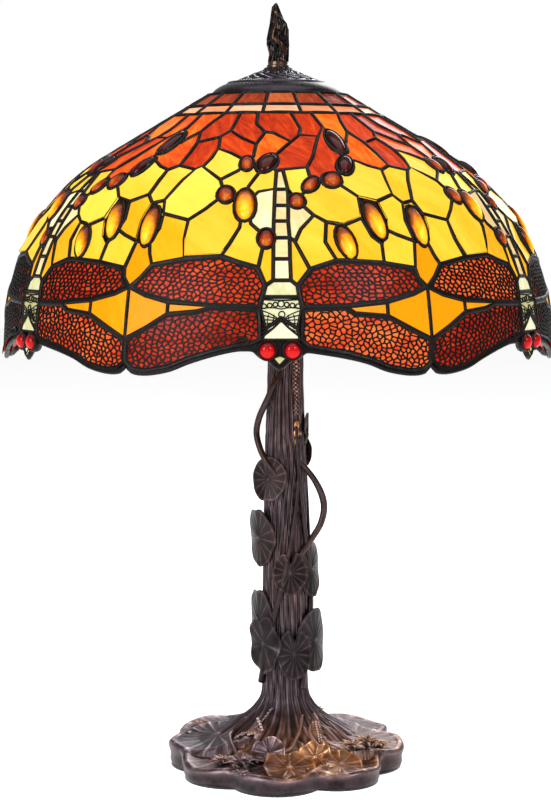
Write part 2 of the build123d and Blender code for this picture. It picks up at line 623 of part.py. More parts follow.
def make_foot():
    slab = pad_sheet(0, FELT, 60)
    hill = turned([(0, 0), (102, 0), (102, 8.5), (84, 11.5), (66, 16), (52, 23), (42, 29.2), (33, 34),
                   (26.5, 40), (22, TRUNK_BOTTOM), (0, TRUNK_BOTTOM)], centre_x=TRUNK_X)
    foot = slab & hill
    ceiling = [(0, -1), (96, -1), (96, 4.5), (80, 7.5), (62, 12), (48, 19), (38, 25), (22, 30), (0, 30)]
    hollow = pad_sheet(7, 0, 60) & turned(ceiling, centre_x=TRUNK_X)
    boss = Pos(0, 0, 24) * Cylinder(14, 32)
    inlet = Pos(4, 84, INLET_Z) * Rot(90, 0, 0) * Cylinder(6.4, 22)
    inlet = inlet & pad_sheet(-2, FELT, 30)
    foot = (foot + inlet) - hollow + boss
    foot = foot - Pos(4, 84, INLET_Z) * Rot(90, 0, 0) * Cylinder(4, 40)
    foot = foot - Pos(0, 0, 30) * Cylinder(ROD_R + 0.2, 80)
    write("foot_casting", foot.solids()[0])
    felt = pad_sheet(1.5, 0, FELT) - Pos(0, 0, 0) * Cylinder(30, 10)
    write("base_felt", felt)
    grommet = Rot(-90, 0, 0) * turned([(3, -13), (4, -13), (4, 0), (5.6, 0), (5.6, 2), (3, 2)])
    write("cord_grommet", Pos(4, 95, INLET_Z) * grommet)
    write("rod_washer", tube(12, ROD_R, 6.2, 8))
    write("rod_nut", hexagon(17, ROD_R, 1.8, 6.2))


def leaf(azimuth, aside, z, radius, tall, reach):
    """Lily leaf with a notch, on a short stalk. It faces azimuth, reach away from the trunk's axis."""
    notch = Pos(0, radius * tall) * RegularPolygon(radius * 0.42, 3, rotation=-90)
    blade = Ellipse(radius, radius * tall) - notch
    stalk = reach - 3
    solid = extrude(blade, LEAF) + Pos(0, 0, 1 - stalk / 2) * Box(STALK, STALK, stalk)
    return Pos(TRUNK_X, 0, z) * Rot(0, 0, azimuth) * Pos(aside, -reach, 0) * Rot(90, 0, 0) * solid


def vine(points, radius):
    """Round stem along straight runs joined by tangent arcs."""
    path = FilletPolyline(*points, radius=9)
    start = Plane(origin=path @ 0, z_dir=path % 0)
    return sweep(start * Circle(radius), path=path)


# Leaves: azimuth, shift aside, height, half width, half height over half width, distance from the axis.
LEAVES = [(-22, -7, 217, 13, 1.15, 17.5), (-58, -7, 172, 16, 1.3, 19), (10, 1, 147, 12.5, 1.2, 18.5),
          (60, 5, 148, 15, 1.25, 19), (8, 6, 88, 13, 1.4, 20), (56, 9, 94, 16, 1.4, 20),
          (-35, -4, 97, 16, 1.6, 19.5), (75, 0, 256, 8, 1.0, 18), (175, 3, 190, 13, 1.2, 18),
          (165, -3, 120, 14, 1.3, 19), (140, 0, 235, 11, 1.15, 17.5)]
LEFT_VINE = [(4, -10, 299), (-8, -11, 276), (-16, -5, 251), (-11, -9, 231), (0, -12, 212)]
RIGHT_VINE = [(14, -10, 232), (27, -6, 216), (34, -3, 193), (27, -6, 172), (16, -10, 158)]


def make_trunk():
    trunk = turned([(0, TRUNK_BOTTOM), (22, TRUNK_BOTTOM), (19, 52), (17.8, 64), (18.2, 100), (18, 132),
                    (16.9, 170), (16.6, 205), (15.4, 247), (14.2, 290), (14, TRUNK_TOP), (0, TRUNK_TOP)],
                   centre_x=TRUNK_X)
    for feature in [vine(LEFT_VINE, 2.3), vine(RIGHT_VINE, 2.6)] + [leaf(*values) for values in LEAVES]:
        trunk = trunk + feature
    trunk = trunk - Pos(0, 0, 180) * Cylinder(ROD_R + 0.2, 400)
    write("trunk_casting", trunk.solids())


os.makedirs("parts", exist_ok=True)
make_foot()
make_trunk()
make_riser()
make_cluster()
make_cap()
make_finial()
make_shade()
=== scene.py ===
import math
import random

import bpy
import numpy as np
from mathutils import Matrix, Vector
from mathutils.geometry import tessellate_polygon


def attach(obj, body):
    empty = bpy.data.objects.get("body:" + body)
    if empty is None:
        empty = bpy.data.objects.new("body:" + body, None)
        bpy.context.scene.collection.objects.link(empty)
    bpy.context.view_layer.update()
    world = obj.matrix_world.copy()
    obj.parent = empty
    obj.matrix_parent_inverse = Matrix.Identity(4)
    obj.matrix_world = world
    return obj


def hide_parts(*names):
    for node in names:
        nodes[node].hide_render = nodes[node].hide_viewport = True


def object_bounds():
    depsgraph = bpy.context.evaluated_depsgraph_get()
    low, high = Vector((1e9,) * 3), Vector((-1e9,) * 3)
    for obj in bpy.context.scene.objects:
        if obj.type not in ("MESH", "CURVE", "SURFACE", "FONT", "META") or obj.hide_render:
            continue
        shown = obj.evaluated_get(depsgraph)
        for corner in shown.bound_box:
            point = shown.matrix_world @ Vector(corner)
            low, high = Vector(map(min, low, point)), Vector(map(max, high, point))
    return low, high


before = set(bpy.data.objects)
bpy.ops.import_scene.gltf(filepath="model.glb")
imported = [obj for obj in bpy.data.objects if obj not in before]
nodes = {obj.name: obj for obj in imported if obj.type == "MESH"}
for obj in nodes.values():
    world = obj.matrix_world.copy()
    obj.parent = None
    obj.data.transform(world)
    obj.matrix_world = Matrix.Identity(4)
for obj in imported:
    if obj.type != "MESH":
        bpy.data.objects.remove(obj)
cad_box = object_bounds()
rng = random.Random(11)
MM = 0.001

# ---------------------------------------------------------------- driving sizes, in mm as in the CAD
SHADE_TOP_R = 48.0
SHADE_TOP_Z = 500.0
CONE_ANGLE = math.radians(31)
SKIRT_ANGLE = math.radians(87)
CONE_LENGTH = 92.0
DOME_RADIUS = 151.0
PERIODS = 6
HALF_LEAD = 1.1
WING_LEAD = 3.0
CHIN_LEAD = 0.6
CROWN = 3.05                # height of a solder line over the dome's middle surface
PANE_OVERLAP = 0.35         # how far a pane runs under its solder
PANE_THICK = 2.9
UPPER_END = 150.0           # arc length at which the solder is split in two pieces
TRUNK_X = 5.5
FELT = 1.5

CENTRE_R = SHADE_TOP_R + CONE_LENGTH * math.cos(CONE_ANGLE) - DOME_RADIUS * math.sin(CONE_ANGLE)
CENTRE_Z = SHADE_TOP_Z - CONE_LENGTH * math.sin(CONE_ANGLE) - DOME_RADIUS * math.cos(CONE_ANGLE)
ARC_END = CONE_LENGTH + DOME_RADIUS * (SKIRT_ANGLE - CONE_ANGLE)

# ---------------------------------------------------------------- the dome's two coordinates


def profile(s):
    """Radius, height and slope of the dome at arc length s, on arrays."""
    s = np.asarray(s, float)
    slope = np.clip(CONE_ANGLE + (s - CONE_LENGTH) / DOME_RADIUS, CONE_ANGLE, SKIRT_ANGLE)
    before = np.minimum(s - CONE_LENGTH, 0.0)
    after = np.maximum(s - ARC_END, 0.0)
    r = CENTRE_R + DOME_RADIUS * np.sin(slope) + before * math.cos(CONE_ANGLE) + after * math.cos(SKIRT_ANGLE)
    z = CENTRE_Z + DOME_RADIUS * np.cos(slope) - before * math.sin(CONE_ANGLE) - after * math.sin(SKIRT_ANGLE)
    return r, z, slope


def turned(r, azimuth, z, x=0.0):
    """Points in mm round an upright axis at x, from radius, azimuth in radians and height."""
    return np.stack(np.broadcast_arrays(x + r * np.sin(azimuth), -r * np.cos(azimuth), z), -1)


def dome(azimuth, s, height):
    """Points in mm from azimuth in radians, arc length and height over the middle surface."""
    r, z, slope = profile(s)
    return turned(r + height * np.sin(slope), azimuth, z + height * np.cos(slope))


def undome(points):
    """Azimuth, arc length and height of points in mm."""
    p = np.asarray(points, float)
    r = np.hypot(p[..., 0], p[..., 1])
    z = p[..., 2]
    azimuth = np.arctan2(p[..., 0], -p[..., 1])
    slope = np.arctan2(r - CENTRE_R, z - CENTRE_Z)
    along = (r - SHADE_TOP_R) * math.cos(CONE_ANGLE) - (z - SHADE_TOP_Z) * math.sin(CONE_ANGLE)
    over = (r - SHADE_TOP_R) * math.sin(CONE_ANGLE) + (z - SHADE_TOP_Z) * math.cos(CONE_ANGLE)
    er, ez, _ = profile(ARC_END)
    down = (r - er) * math.cos(SKIRT_ANGLE) - (z - ez) * math.sin(SKIRT_ANGLE)
    out = (r - er) * math.sin(SKIRT_ANGLE) + (z - ez) * math.cos(SKIRT_ANGLE)
    s = CONE_LENGTH + DOME_RADIUS * (slope - CONE_ANGLE)
    height = np.hypot(r - CENTRE_R, z - CENTRE_Z) - DOME_RADIUS
    cone = slope < CONE_ANGLE
    skirt = slope > SKIRT_ANGLE
    s = np.where(cone, along, np.where(skirt, ARC_END + down, s))
    height = np.where(cone, over, np.where(skirt, out, height))
    return azimuth, s, height


def to_flat(azimuth, s, centre):
    """Flat map in mm round a place (azimuth, s)."""
    turn = (np.asarray(azimuth) - centre[0] + math.pi) % (2 * math.pi) - math.pi
    return np.stack([turn * profile(s)[0], np.asarray(s) - centre[1]], -1)


def from_flat(flat, centre):
    s = flat[..., 1] + centre[1]
    return centre[0] + flat[..., 0] / profile(s)[0], s


def wobble(p, pitch, seed=0.0):
    """Smooth noise from -1 to 1 at points in mm, the same each run."""
    q = np.asarray(p, float) / pitch
    x, y, z = q[..., 0] + seed, q[..., 1] - 1.7 * seed, q[..., 2] + 0.6 * seed
    w = np.sin(1.9 * x + 1.3 * y + 0.7) * np.sin(1.7 * z - 1.1 * x + 2.1)
    w = w + 0.6 * np.sin(3.1 * y + 2.3 * z + 0.4) * np.sin(2.9 * x - 1.9 * y)
    w = w + 0.4 * np.sin(5.3 * x + 4.1 * z + 1.9) * np.sin(4.7 * y + 5.9 * z)
    return w / 2


# ---------------------------------------------------------------- mesh helpers


def linked(name, data):
    """A new object in the scene."""
    obj = bpy.data.objects.new(name, data)
    bpy.context.scene.collection.objects.link(obj)
    return obj


def piece(name, points, faces, body, material, slot, stands_for=(), smooth=True, marks=None):
    """A mesh from points in mm; marks are named values per vertex."""
    mesh = bpy.data.meshes.new(name)
    mesh.from_pydata((np.asarray(points, float) * MM).tolist(), [], faces)
    mesh.update()
    if smooth:
        mesh.shade_smooth()
    for mark, values in (marks or {}).items():
        values = np.asarray(values, np.float32)
        kind, field = ("FLOAT_VECTOR", "vector") if values.ndim == 2 else ("FLOAT", "value")
        mesh.attributes.new(mark, kind, "POINT").data.foreach_set(field, values.ravel())
    mesh.materials.append(material)
    obj = linked(name, mesh)
    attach(obj, body)
    for node in stands_for:
        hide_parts(node)


class Soup:
    """Gathers many small shapes into one mesh."""

    def __init__(self):
        self.points, self.faces, self.marks, self.count = [], [], {}, 0

    def add(self, points, faces, **marks):
        """Add points and faces, with a mark for all of them or one for each."""
        points = np.asarray(points, float).reshape(-1, 3)
        self.points.append(points)
        self.faces += [tuple(i + self.count for i in f) for f in faces]
        for name, value in marks.items():
            value = np.asarray(value, float)
            value = value.reshape(len(points), -1).squeeze() if value.ndim else np.full(len(points), value)
            self.marks.setdefault(name, []).append(value)
        self.count += len(points)

    def build(self, name, body, material, **options):
        marks = {k: np.concatenate(v) for k, v in self.marks.items()}
        piece(name, np.concatenate(self.points), self.faces, body, material, marks=marks, **options)


def grid_faces(rows, columns, start=0, flip=False):
    """Quads of a grid of closed rows that follow each other; flip turns them to face the other way."""
    faces = []
    for i in range(rows - 1):
        for j in range(columns):
            k = (j + 1) % columns
            a, b = start + i * columns, start + (i + 1) * columns
            faces.append((b + j, b + k, a + k, a + j) if flip else (a + j, a + k, b + k, b + j))
    return faces


def smooth_path(points, step):
    """Catmull-Rom curve through the points, sampled about every step mm."""
    p = np.asarray(points, float)
    p = np.vstack([2 * p[0] - p[1], p, 2 * p[-1] - p[-2]])
    out = []
    for i in range(1, len(p) - 2):
        n = max(2, int(np.linalg.norm(p[i + 1] - p[i]) / step))
        for t in np.arange(n) / n:
            a = 2 * p[i] + (p[i + 1] - p[i - 1]) * t
            b = (2 * p[i - 1] - 5 * p[i] + 4 * p[i + 1] - p[i + 2]) * t * t
            c = (3 * p[i] - p[i - 1] - 3 * p[i + 1] + p[i + 2]) * t ** 3
            out.append((a + b + c) / 2)
    out.append(p[-2])
    return np.array(out)


def strand(soup, points, radius, step=1.5, sides=10, flat=1.0, up=(0, 0, 1), **marks):
    """Rounded stem along a curve, squeezed by flat. radius is a number or runs (along 0..1, radius)."""
    path = smooth_path(points, step)
    n = len(path)
    r = np.full(n, radius, float) if np.isscalar(radius) else np.interp(np.linspace(0, 1, n), *zip(*radius))
    ahead = np.gradient(path, axis=0)
    ahead /= np.linalg.norm(ahead, axis=1)[:, None] + 1e-9
    a = np.linspace(0, 2 * math.pi, sides, endpoint=False)[:, None]
    side = np.cross(ahead[0], np.array(up, float))
    if np.linalg.norm(side) < 0.2:
        side = np.cross(ahead[0], (0.6, 0.8, 0.0))
    rows = [[path[0]] * sides]
    for k in range(n):
        side = side - ahead[k] * (side @ ahead[k])
        side /= np.linalg.norm(side)
        lift = np.cross(side, ahead[k])
        rows.append(path[k] + r[k] * (np.cos(a) * side + flat * np.sin(a) * lift))
    rows.append([path[-1]] * sides)
    soup.add(rows, grid_faces(n + 2, sides, flip=True), **marks)


def bead(soup, centre, radii, sides=12, rings=7, **marks):
    """Rounded lump with three half sizes, or one."""
    a = np.linspace(0, 2 * math.pi, sides, endpoint=False)
    b = np.linspace(0, math.pi, rings)
    shape = np.stack([np.outer(np.sin(b), np.cos(a)), np.outer(np.sin(b), np.sin(a)),
                      np.outer(np.cos(b), np.ones(sides))], -1) * np.asarray(radii, float)
    soup.add(shape + np.asarray(centre, float), grid_faces(rings, sides, flip=True), **marks)


# ---------------------------------------------------------------- flat outlines


def area_of(flat):
    """Area inside an outline, positive when its corners run counterclockwise."""
    x, y = flat[:, 0], flat[:, 1]
    return float(np.sum(x * np.roll(y, -1) - np.roll(x, -1) * y) / 2)


def offset(flat, amount):
    """Outline with counterclockwise corners moved outwards by amount."""
    before, after = np.roll(flat, 1, 0), np.roll(flat, -1, 0)
    u, v = flat - before, after - flat
    u /= np.linalg.norm(u, axis=1)[:, None] + 1e-9
    v /= np.linalg.norm(v, axis=1)[:, None] + 1e-9
    nu = np.stack([u[:, 1], -u[:, 0]], -1)
    nv = np.stack([v[:, 1], -v[:, 0]], -1)
    both = nu + nv
    return flat + both * (amount / np.maximum(0.35, (both * nu).sum(1)))[:, None]


def welded(node):
    """A CAD node's vertices in mm, and for each a number that it shares with others at its place."""
    co = np.array([v.co for v in nodes[node].data.vertices], float) / MM
    keys = {}
    return co, np.array([keys.setdefault(tuple(np.round(c, 3)), len(keys)) for c in co])


def loops_of(node):
    """Outer edge loops, in mm, of each solid's outward face in a CAD node."""
    co, weld = welded(node)
    first = np.zeros((weld.max() + 1, 3))
    first[weld] = co
    azimuth, s, _ = undome(first)
    slope = profile(s)[2]
    outward = turned(np.sin(slope), azimuth, np.cos(slope))
    edges = {}
    for poly in nodes[node].data.polygons:
        ids = [int(weld[i]) for i in poly.vertices]
        a, b, c = (first[i] for i in ids[:3])
        normal = np.cross(b - a, c - a)
        size = np.linalg.norm(normal)
        if size < 1e-6 or normal @ outward[ids[0]] < 0.8 * size:
            continue
        for edge in zip(ids, ids[1:] + ids[:1]):
            edges[edge] = True
    after = {}
    for i, j in edges:
        if (j, i) not in edges:
            after.setdefault(i, []).append(j)
    loops = []
    while after:
        start = next(iter(after))
        loop, here = [start], start
        while after.get(here):
            there = after[here].pop()
            if not after[here]:
                del after[here]
            if there == start:
                break
            loop.append(there)
            here = there
        if len(loop) > 2:
            loops.append(first[loop])
    return loops


def centre_of(points):
    """Azimuth and arc length of the middle of some points."""
    azimuth, s, _ = undome(points.mean(0))
    return float(azimuth), float(s)


def finer(loop, step):
    """The loop with its sides cut into equal parts of at most step mm."""
    out = []
    for a, b in zip(loop, np.roll(loop, -1, 0)):
        n = max(1, math.ceil(np.linalg.norm(b - a) / step))
        out += [a + (b - a) * k / n for k in range(n)]
    return np.array(out)


def flatten(loop, step=None):
    """A loop's centre, flat counterclockwise outline and heights; step cuts its sides finer first."""
    centre = centre_of(loop)
    azimuth, s, height = undome(finer(loop, step) if step else loop)
    flat = to_flat(azimuth, s, centre)
    return (centre, flat[::-1], height[::-1]) if area_of(flat) < 0 else (centre, flat, height)


# ---------------------------------------------------------------- materials


def srgb(text):
    """Linear colour from a #RRGGBB text."""
    values = [int(text[i:i + 2], 16) / 255 for i in (1, 3, 5)]
    return tuple(v / 12.92 if v <= 0.04045 else ((v + 0.055) / 1.055) ** 2.4 for v in values) + (1.0,)


class Paint:
    """Short way to wire a node material."""

    def __init__(self, name):
        self.material = bpy.data.materials.new(name)
        self.material.use_nodes = True
        self.tree = self.material.node_tree
        self.shader = self.tree.nodes["Principled BSDF"]

    def node(self, kind, inputs=None, **settings):
        node = self.tree.nodes.new("ShaderNode" + kind)
        for key, value in settings.items():
            setattr(node, key, value)
        for key, value in (inputs or {}).items():
            self.put(node.inputs[key], value)
        return node

    def put(self, socket, value):
        if isinstance(value, bpy.types.NodeSocket):
            self.tree.links.new(value, socket)
        else:
            socket.default_value = value

    def set(self, **values):
        for key, value in values.items():
            self.put(self.shader.inputs[key.replace("_", " ")], value)

    def mark(self, name):
        return self.node("Attribute", attribute_name=name)

    def ramp(self, factor, stops):
        node = self.node("ValToRGB", {"Fac": factor})
        while len(node.color_ramp.elements) < len(stops):
            node.color_ramp.elements.new(0.5)
        for element, (place, colour) in zip(node.color_ramp.elements, stops):
            element.position = place
            element.color = srgb(colour) if isinstance(colour, str) else (colour, colour, colour, 1)
        return node.outputs["Color"]

    def mix(self, factor, a, b, blend="MIX"):
        node = self.node("Mix", data_type="RGBA", blend_type=blend)
        self.put(node.inputs[0], factor)
        self.put(node.inputs[6], a)
        self.put(node.inputs[7], b)
        return node.outputs[2]

    def maths(self, operation, a, b=0.0, c=0.0):
        node = self.node("Math", operation=operation)
        for socket, value in zip(node.inputs, (a, b, c)):
            self.put(socket, value)
        return node.outputs[0]

    def noise(self, vector, scale, detail=3.0, rough=0.55, warp=0.0):
        node = self.node("TexNoise", {"Vector": vector, "Scale": scale, "Detail": detail, "Roughness": rough,
                                      "Distortion": warp})
        return node.outputs["Fac"]

    def place(self):
        return self.node("TexCoord").outputs["Object"]

    def bump(self, height, distance, strength=1.0):
        node = self.node("Bump", {"Height": height, "Distance": distance, "Strength": strength})
        self.put(self.shader.inputs["Normal"], node.outputs["Normal"])


def art_glass(name, stops, glow, scale=0.16, warp=1.2, tone=0.35):
    """Opalescent sheet glass whose light from the bulbs behind is a painted glow, set as emission. The flow
    mark runs in mm along each pane's own streaks.
    """
    p = Paint(name)
    flow = p.mark("flow").outputs["Vector"]
    along = p.node("Mapping", {"Vector": flow, "Scale": (1.0, 0.22, 1.0)}).outputs["Vector"]
    streak = p.noise(along, scale, 4.0, 0.6, warp)
    cloud = p.noise(flow, scale * 0.35, 2.0)
    shade = p.mark("tone").outputs["Fac"]
    mixed = p.maths("ADD", p.maths("MULTIPLY", streak, 0.72), p.maths("MULTIPLY", cloud, 0.28))
    shifted = p.maths("ADD", mixed, p.maths("MULTIPLY", p.maths("SUBTRACT", shade, 0.5), tone))
    colour = p.ramp(shifted, stops)
    # painted glow: the emission stands for the bulbs' light through the pane, brighter on panes with a higher
    # tone
    painted_backlight = p.maths("MULTIPLY_ADD", shade, 0.22 * glow, 0.89 * glow)
    p.set(Base_Color=p.mix(0.8, colour, srgb("#1A0D05")), Emission_Color=colour, Emission_Strength=painted_backlight,
          Roughness=0.2, Specular_IOR_Level=0.3, IOR=1.2)
    ripple = p.noise(p.place(), 95.0, 2.0)
    p.bump(p.maths("ADD", p.maths("MULTIPLY", ripple, 0.7), p.maths("MULTIPLY", streak, 0.3)), 0.0011, 0.35)
    return p.material


def metal(name, stops, rough, metallic, grain, bump=0.0004, cast=False, warm=None, level=0.5):
    """Cast or drawn metal. A casting's relief mark picks the stops; warm gives the stops of its copper."""
    p = Paint(name)
    where = p.place()
    fine = p.noise(where, grain, 6.0, 0.62)
    broad = p.noise(where, grain * 0.16, 3.0)
    if cast:
        relief = p.mark("relief").outputs["Fac"]
        pick = p.maths("ADD", relief, p.maths("MULTIPLY", p.maths("SUBTRACT", fine, 0.5), 0.7))
    else:
        pick = p.maths("ADD", p.maths("MULTIPLY", broad, 0.6), p.maths("MULTIPLY", fine, 0.4))
    colour = p.ramp(pick, stops)
    if warm:
        amount = p.mark("warm").outputs["Fac"]
        patch = p.maths("MULTIPLY", amount, p.ramp(broad, [(0.36, 0.15), (0.6, 1.0)]))
        colour = p.mix(patch, colour, p.ramp(pick, warm))
    gloss = p.ramp(fine, [(0.3, rough[0]), (0.7, rough[1])])
    p.set(Base_Color=colour, Roughness=gloss, Metallic=metallic, Specular_IOR_Level=level)
    p.bump(fine, bump, 0.6)
    return p.material


def plain(name, a, b, rough=0.5, scale=120.0, bump=0.0002, **values):
    """Non-metal surface with slight mottling."""
    p = Paint(name)
    fine = p.noise(p.place(), scale, 4.0)
    p.set(Base_Color=p.ramp(fine, [(0.3, a), (0.7, b)]), Roughness=rough, **values)
    p.bump(fine, bump, 0.5)
    return p.material


def jewel_glass(name, stops, glow, edge):
    """Pressed glass stone with a painted glow: the glow mark picks its colour from deep to bright, and the
    same colour is set as emission; its edge stays deep.
    """
    p = Paint(name)
    depth = p.mark("depth").outputs["Fac"]
    cloud = p.noise(p.place(), 260.0, 2.0)
    pick = p.maths("ADD", depth, p.maths("MULTIPLY", p.maths("SUBTRACT", cloud, 0.5), 0.35))
    colour = p.ramp(pick, stops)
    p.set(Base_Color=p.mix(0.85, colour, srgb(edge)), Emission_Color=colour, Emission_Strength=glow,
          Roughness=0.05, Specular_IOR_Level=0.2, IOR=1.4)
    p.bump(cloud, 0.0006, 0.25)
    return p.material


SOLDER = metal("black_solder", [(0.3, "#030100"), (0.55, "#080403"), (0.85, "#1C1310")], (0.32, 0.52), 0.0,
               160.0, 0.0006, level=0.14)
FILIGREE = plain("etched_filigree", "#030202", "#0E0A08", 0.45, 200.0, 0.0002, Specular_IOR_Level=0.12)
# bronze from dark hollows to rubbed ridges; the lightest, violet-grey stop is partly a painted sheen
BARK_STOPS = [(0.1, "#0D0A0C"), (0.42, "#2C2428"), (0.7, "#4A4047"), (1.0, "#867A8A")]
COPPER_STOPS = [(0.1, "#180E08"), (0.42, "#543620"), (0.72, "#8E6038"), (1.0, "#C8985C")]
BRONZE = metal("rubbed_bronze", BARK_STOPS, (0.3, 0.5), 0.8, 90.0, 0.0005, True, COPPER_STOPS)
# the foot's bronze and copper are lighter copies of the trunk's, painted light on its up-facing surfaces;
# their lightest stops are partly a painted sheen
FOOT_LIT_STOPS = [(0.1, "#151114"), (0.42, "#443A42"), (0.7, "#746772"), (1.0, "#B0A2B2")]
FOOT_LIT_COPPER_STOPS = [(0.1, "#26170E"), (0.42, "#805634"), (0.72, "#C08C58"), (1.0, "#F0C48A")]
FOOT_LIT_BRONZE = metal("foot_bronze_painted_light", FOOT_LIT_STOPS, (0.3, 0.48), 0.8, 90.0, 0.0005, True, FOOT_LIT_COPPER_STOPS)
CAP_BRONZE = metal("cap_bronze", [(0.1, "#070506"), (0.45, "#1A1418"), (0.75, "#38303A"), (1.0, "#7E7C96")],
                   (0.2, 0.34), 0.85, 70.0, 0.0002, True)
FINIAL_STOPS = [(0.1, "#050303"), (0.5, "#150D0A"), (0.8, "#3A241A"), (1.0, "#B08A68")]
FINIAL_BRONZE = metal("finial_bronze", FINIAL_STOPS, (0.12, 0.26), 0.8, 130.0, 0.0005, True)
BRASS = metal("aged_brass", [(0.3, "#5A4220"), (0.7, "#A8843E")], (0.25, 0.42), 1.0, 80.0)
COLLAR = metal("collar_bronze", [(0.3, "#2A201C"), (0.7, "#6E5A4A")], (0.2, 0.34), 0.9, 90.0)
STEEL = metal("plated_steel", [(0.3, "#6E6A60"), (0.7, "#A09A88")], (0.28, 0.42), 1.0, 90.0)
NICKEL = metal("nickel_cap", [(0.3, "#8E8C88"), (0.7, "#C8C4BC")], (0.18, 0.3), 1.0, 120.0)
PORCELAIN = plain("glazed_porcelain", "#D8D2C4", "#EDE9DE", 0.18, 90.0, Coat_Weight=0.6)
RUBBER = plain("moulded_rubber", "#0C0C0C", "#191817", 0.6, 200.0)
FELT_PAD = plain("green_felt", "#0B120D", "#1B2A20", 0.95, 900.0, 0.0006, Sheen_Weight=0.4)
SLEEVE = plain("woven_sleeve", "#3A2A12", "#6B5024", 0.8, 700.0, 0.0005)

# each glass goes from its deep streaks to its pale ones
RUST = art_glass("rust_glass", [(0.28, "#5E180A"), (0.42, "#8E2C0E"), (0.55, "#AC3C16"), (0.72, "#C4602E")],
                 0.85)
PEACH = art_glass("peach_glass", [(0.3, "#E97E48"), (0.5, "#F49A6C"), (0.72, "#FBBB92")], 0.9)
ORANGE = art_glass("orange_glass", [(0.26, "#A02002"), (0.4, "#CC3404"), (0.55, "#E85006"),
                                    (0.75, "#FA7C1A")], 0.96)
AMBER = art_glass("amber_glass", [(0.28, "#F99C04"), (0.46, "#FCB61A"), (0.64, "#FDCA38"), (0.92, "#FADE4E")],
                  0.96, scale=0.04, warp=0.4, tone=0.8)
CREAM = art_glass("cream_glass", [(0.3, "#EFCB88"), (0.5, "#F8DFA2"), (0.72, "#FDEEC0")], 0.88)
THORAX = art_glass("thorax_glass", [(0.3, "#C2BC7A"), (0.5, "#DEDCA6"), (0.72, "#F2F0CC")], 0.84)
RED = art_glass("wing_glass", [(0.28, "#8E1204"), (0.42, "#BE280A"), (0.56, "#DE461A"), (0.75, "#F47C38")],
                1.0)
AMBER_STONE = jewel_glass("amber_stone", [(0.0, "#3A1202"), (0.26, "#A04802"), (0.52, "#F09404"),
                                          (0.85, "#FFDC2E")], 1.05, "#2A1002")
DARK_STONE = jewel_glass("dark_stone", [(0.0, "#0E0202"), (0.4, "#2E0604"), (0.95, "#6E1408")], 0.4,
                         "#0C0202")
BROWN_STONE = jewel_glass("brown_stone", [(0.0, "#1E0502"), (0.35, "#6A1804"), (0.65, "#B0400A"),
                                          (0.95, "#F08E22")], 0.85, "#1C0603")
RED_STONE = jewel_glass("red_stone", [(0.0, "#3A0204"), (0.3, "#A80408"), (0.95, "#F21412")], 0.85, "#300204")
BULB = plain("frosted_bulb", "#FFF1D6", "#FFE7BE", 0.35, 60.0, Emission_Color=srgb("#FFE2B0"),
             Emission_Strength=0.8)

# ---------------------------------------------------------------- glass panes and the solder round them


def pane(soup, loop, tone, turn):
    """One flat pane a little wider than the CAD outline, with streaks that run at the angle turn."""
    centre, flat, height = flatten(loop)
    wide = offset(flat, PANE_OVERLAP)
    a, s = from_flat(wide, centre)
    c, d = math.cos(turn), math.sin(turn)
    n = len(wide)
    streaks = wide @ [[c, d], [-d, c]] + 170.0 * tone       # each pane is cut from its own place in the sheet
    flow = np.column_stack([streaks, np.full(n, tone * 83.0)])
    faces = []
    for t in tessellate_polygon([[Vector((x, y, 0)) for x, y in wide]]):
        t = t[::-1] if area_of(wide[list(t)]) > 0 else t
        faces += [tuple(t), tuple(n + i for i in t[::-1])]
    soup.add([dome(a, s, height), dome(a, s, height - PANE_THICK)], faces, flow=[flow, flow], tone=tone)


def solder_ring(soup, loop, lead):
    """Rounded half line of solder round one pane, from the glass to the lead's middle, outside and inside."""
    centre, flat, height = flatten(loop, 3.2)
    outer = [(-0.3, height + 0.02), (0.05, 0.45 * height + 0.55 * CROWN + 0.1), (0.55 * lead, CROWN - 0.06),
             (lead, CROWN)]
    if lead == WING_LEAD:
        outer = [(0.7, height + 0.3), (1.0, 0.3 * height + 0.7 * CROWN), (1.7, CROWN), (lead, CROWN + 0.1)]
    inner = [(lead, -CROWN), (0.4 * lead, -CROWN + 0.1), (-0.5, height - 3.0)]
    points, normals = [], []
    for far, high in outer + inner:
        a, s = from_flat(offset(flat, far), centre)
        points.append(dome(a, s, high))
        normals.append(dome(a, s, 1.0) - dome(a, s, 0.0))
    lump = 0.16 * wobble(np.array(points), 5.0)
    lump[[0, -1]] = 0
    n = len(flat)
    faces = grid_faces(len(outer), n) + grid_faces(len(inner), n, start=len(outer) * n)
    faces = [f[1:] + f[:1] for f in faces]                  # each quad then splits along its other diagonal
    soup.add(np.array(points) + np.array(normals) * lump[..., None], faces)


solder = {True: Soup(), False: Soup()}          # the upper part, and the rest
GLASS = {"rust_band": (RUST, "rust_glass", 0.0), "peach_band": (PEACH, "peach_glass", 1.5),
         "orange": (ORANGE, "orange_glass", 0.3), "amber": (AMBER, "amber_glass", 0.8),
         "side_panes": (AMBER, "amber_glass", 0.5), "cream": (CREAM, "cream_glass", 0.4),
         "tail": (CREAM, "cream_glass", 1.4), "thorax": (THORAX, "thorax_glass", 0.2),
         "chin": (THORAX, "thorax_glass", 0.7)}
for kind, (look, slot, turn) in GLASS.items():
    soup = Soup()
    for loop in loops_of("glass_" + kind):
        s = centre_of(loop)[1]
        tone = rng.random()
        if kind == "side_panes":
            tone = 0.25 * tone
        if kind == "amber":                     # paler towards the top, with a brighter painted glow there
            tone = min(1.0, max(0.0, 0.62 * (1 - (s - 120) / 110) + 0.38 * tone))
        pane(soup, loop, tone, turn + rng.uniform(-0.5, 0.5))
        solder_ring(solder[s < UPPER_END], loop, CHIN_LEAD if kind == "chin" else HALF_LEAD)
    soup.build("pane_glass_" + kind, "shade", look, slot=slot, stands_for=["glass_" + kind], smooth=False)

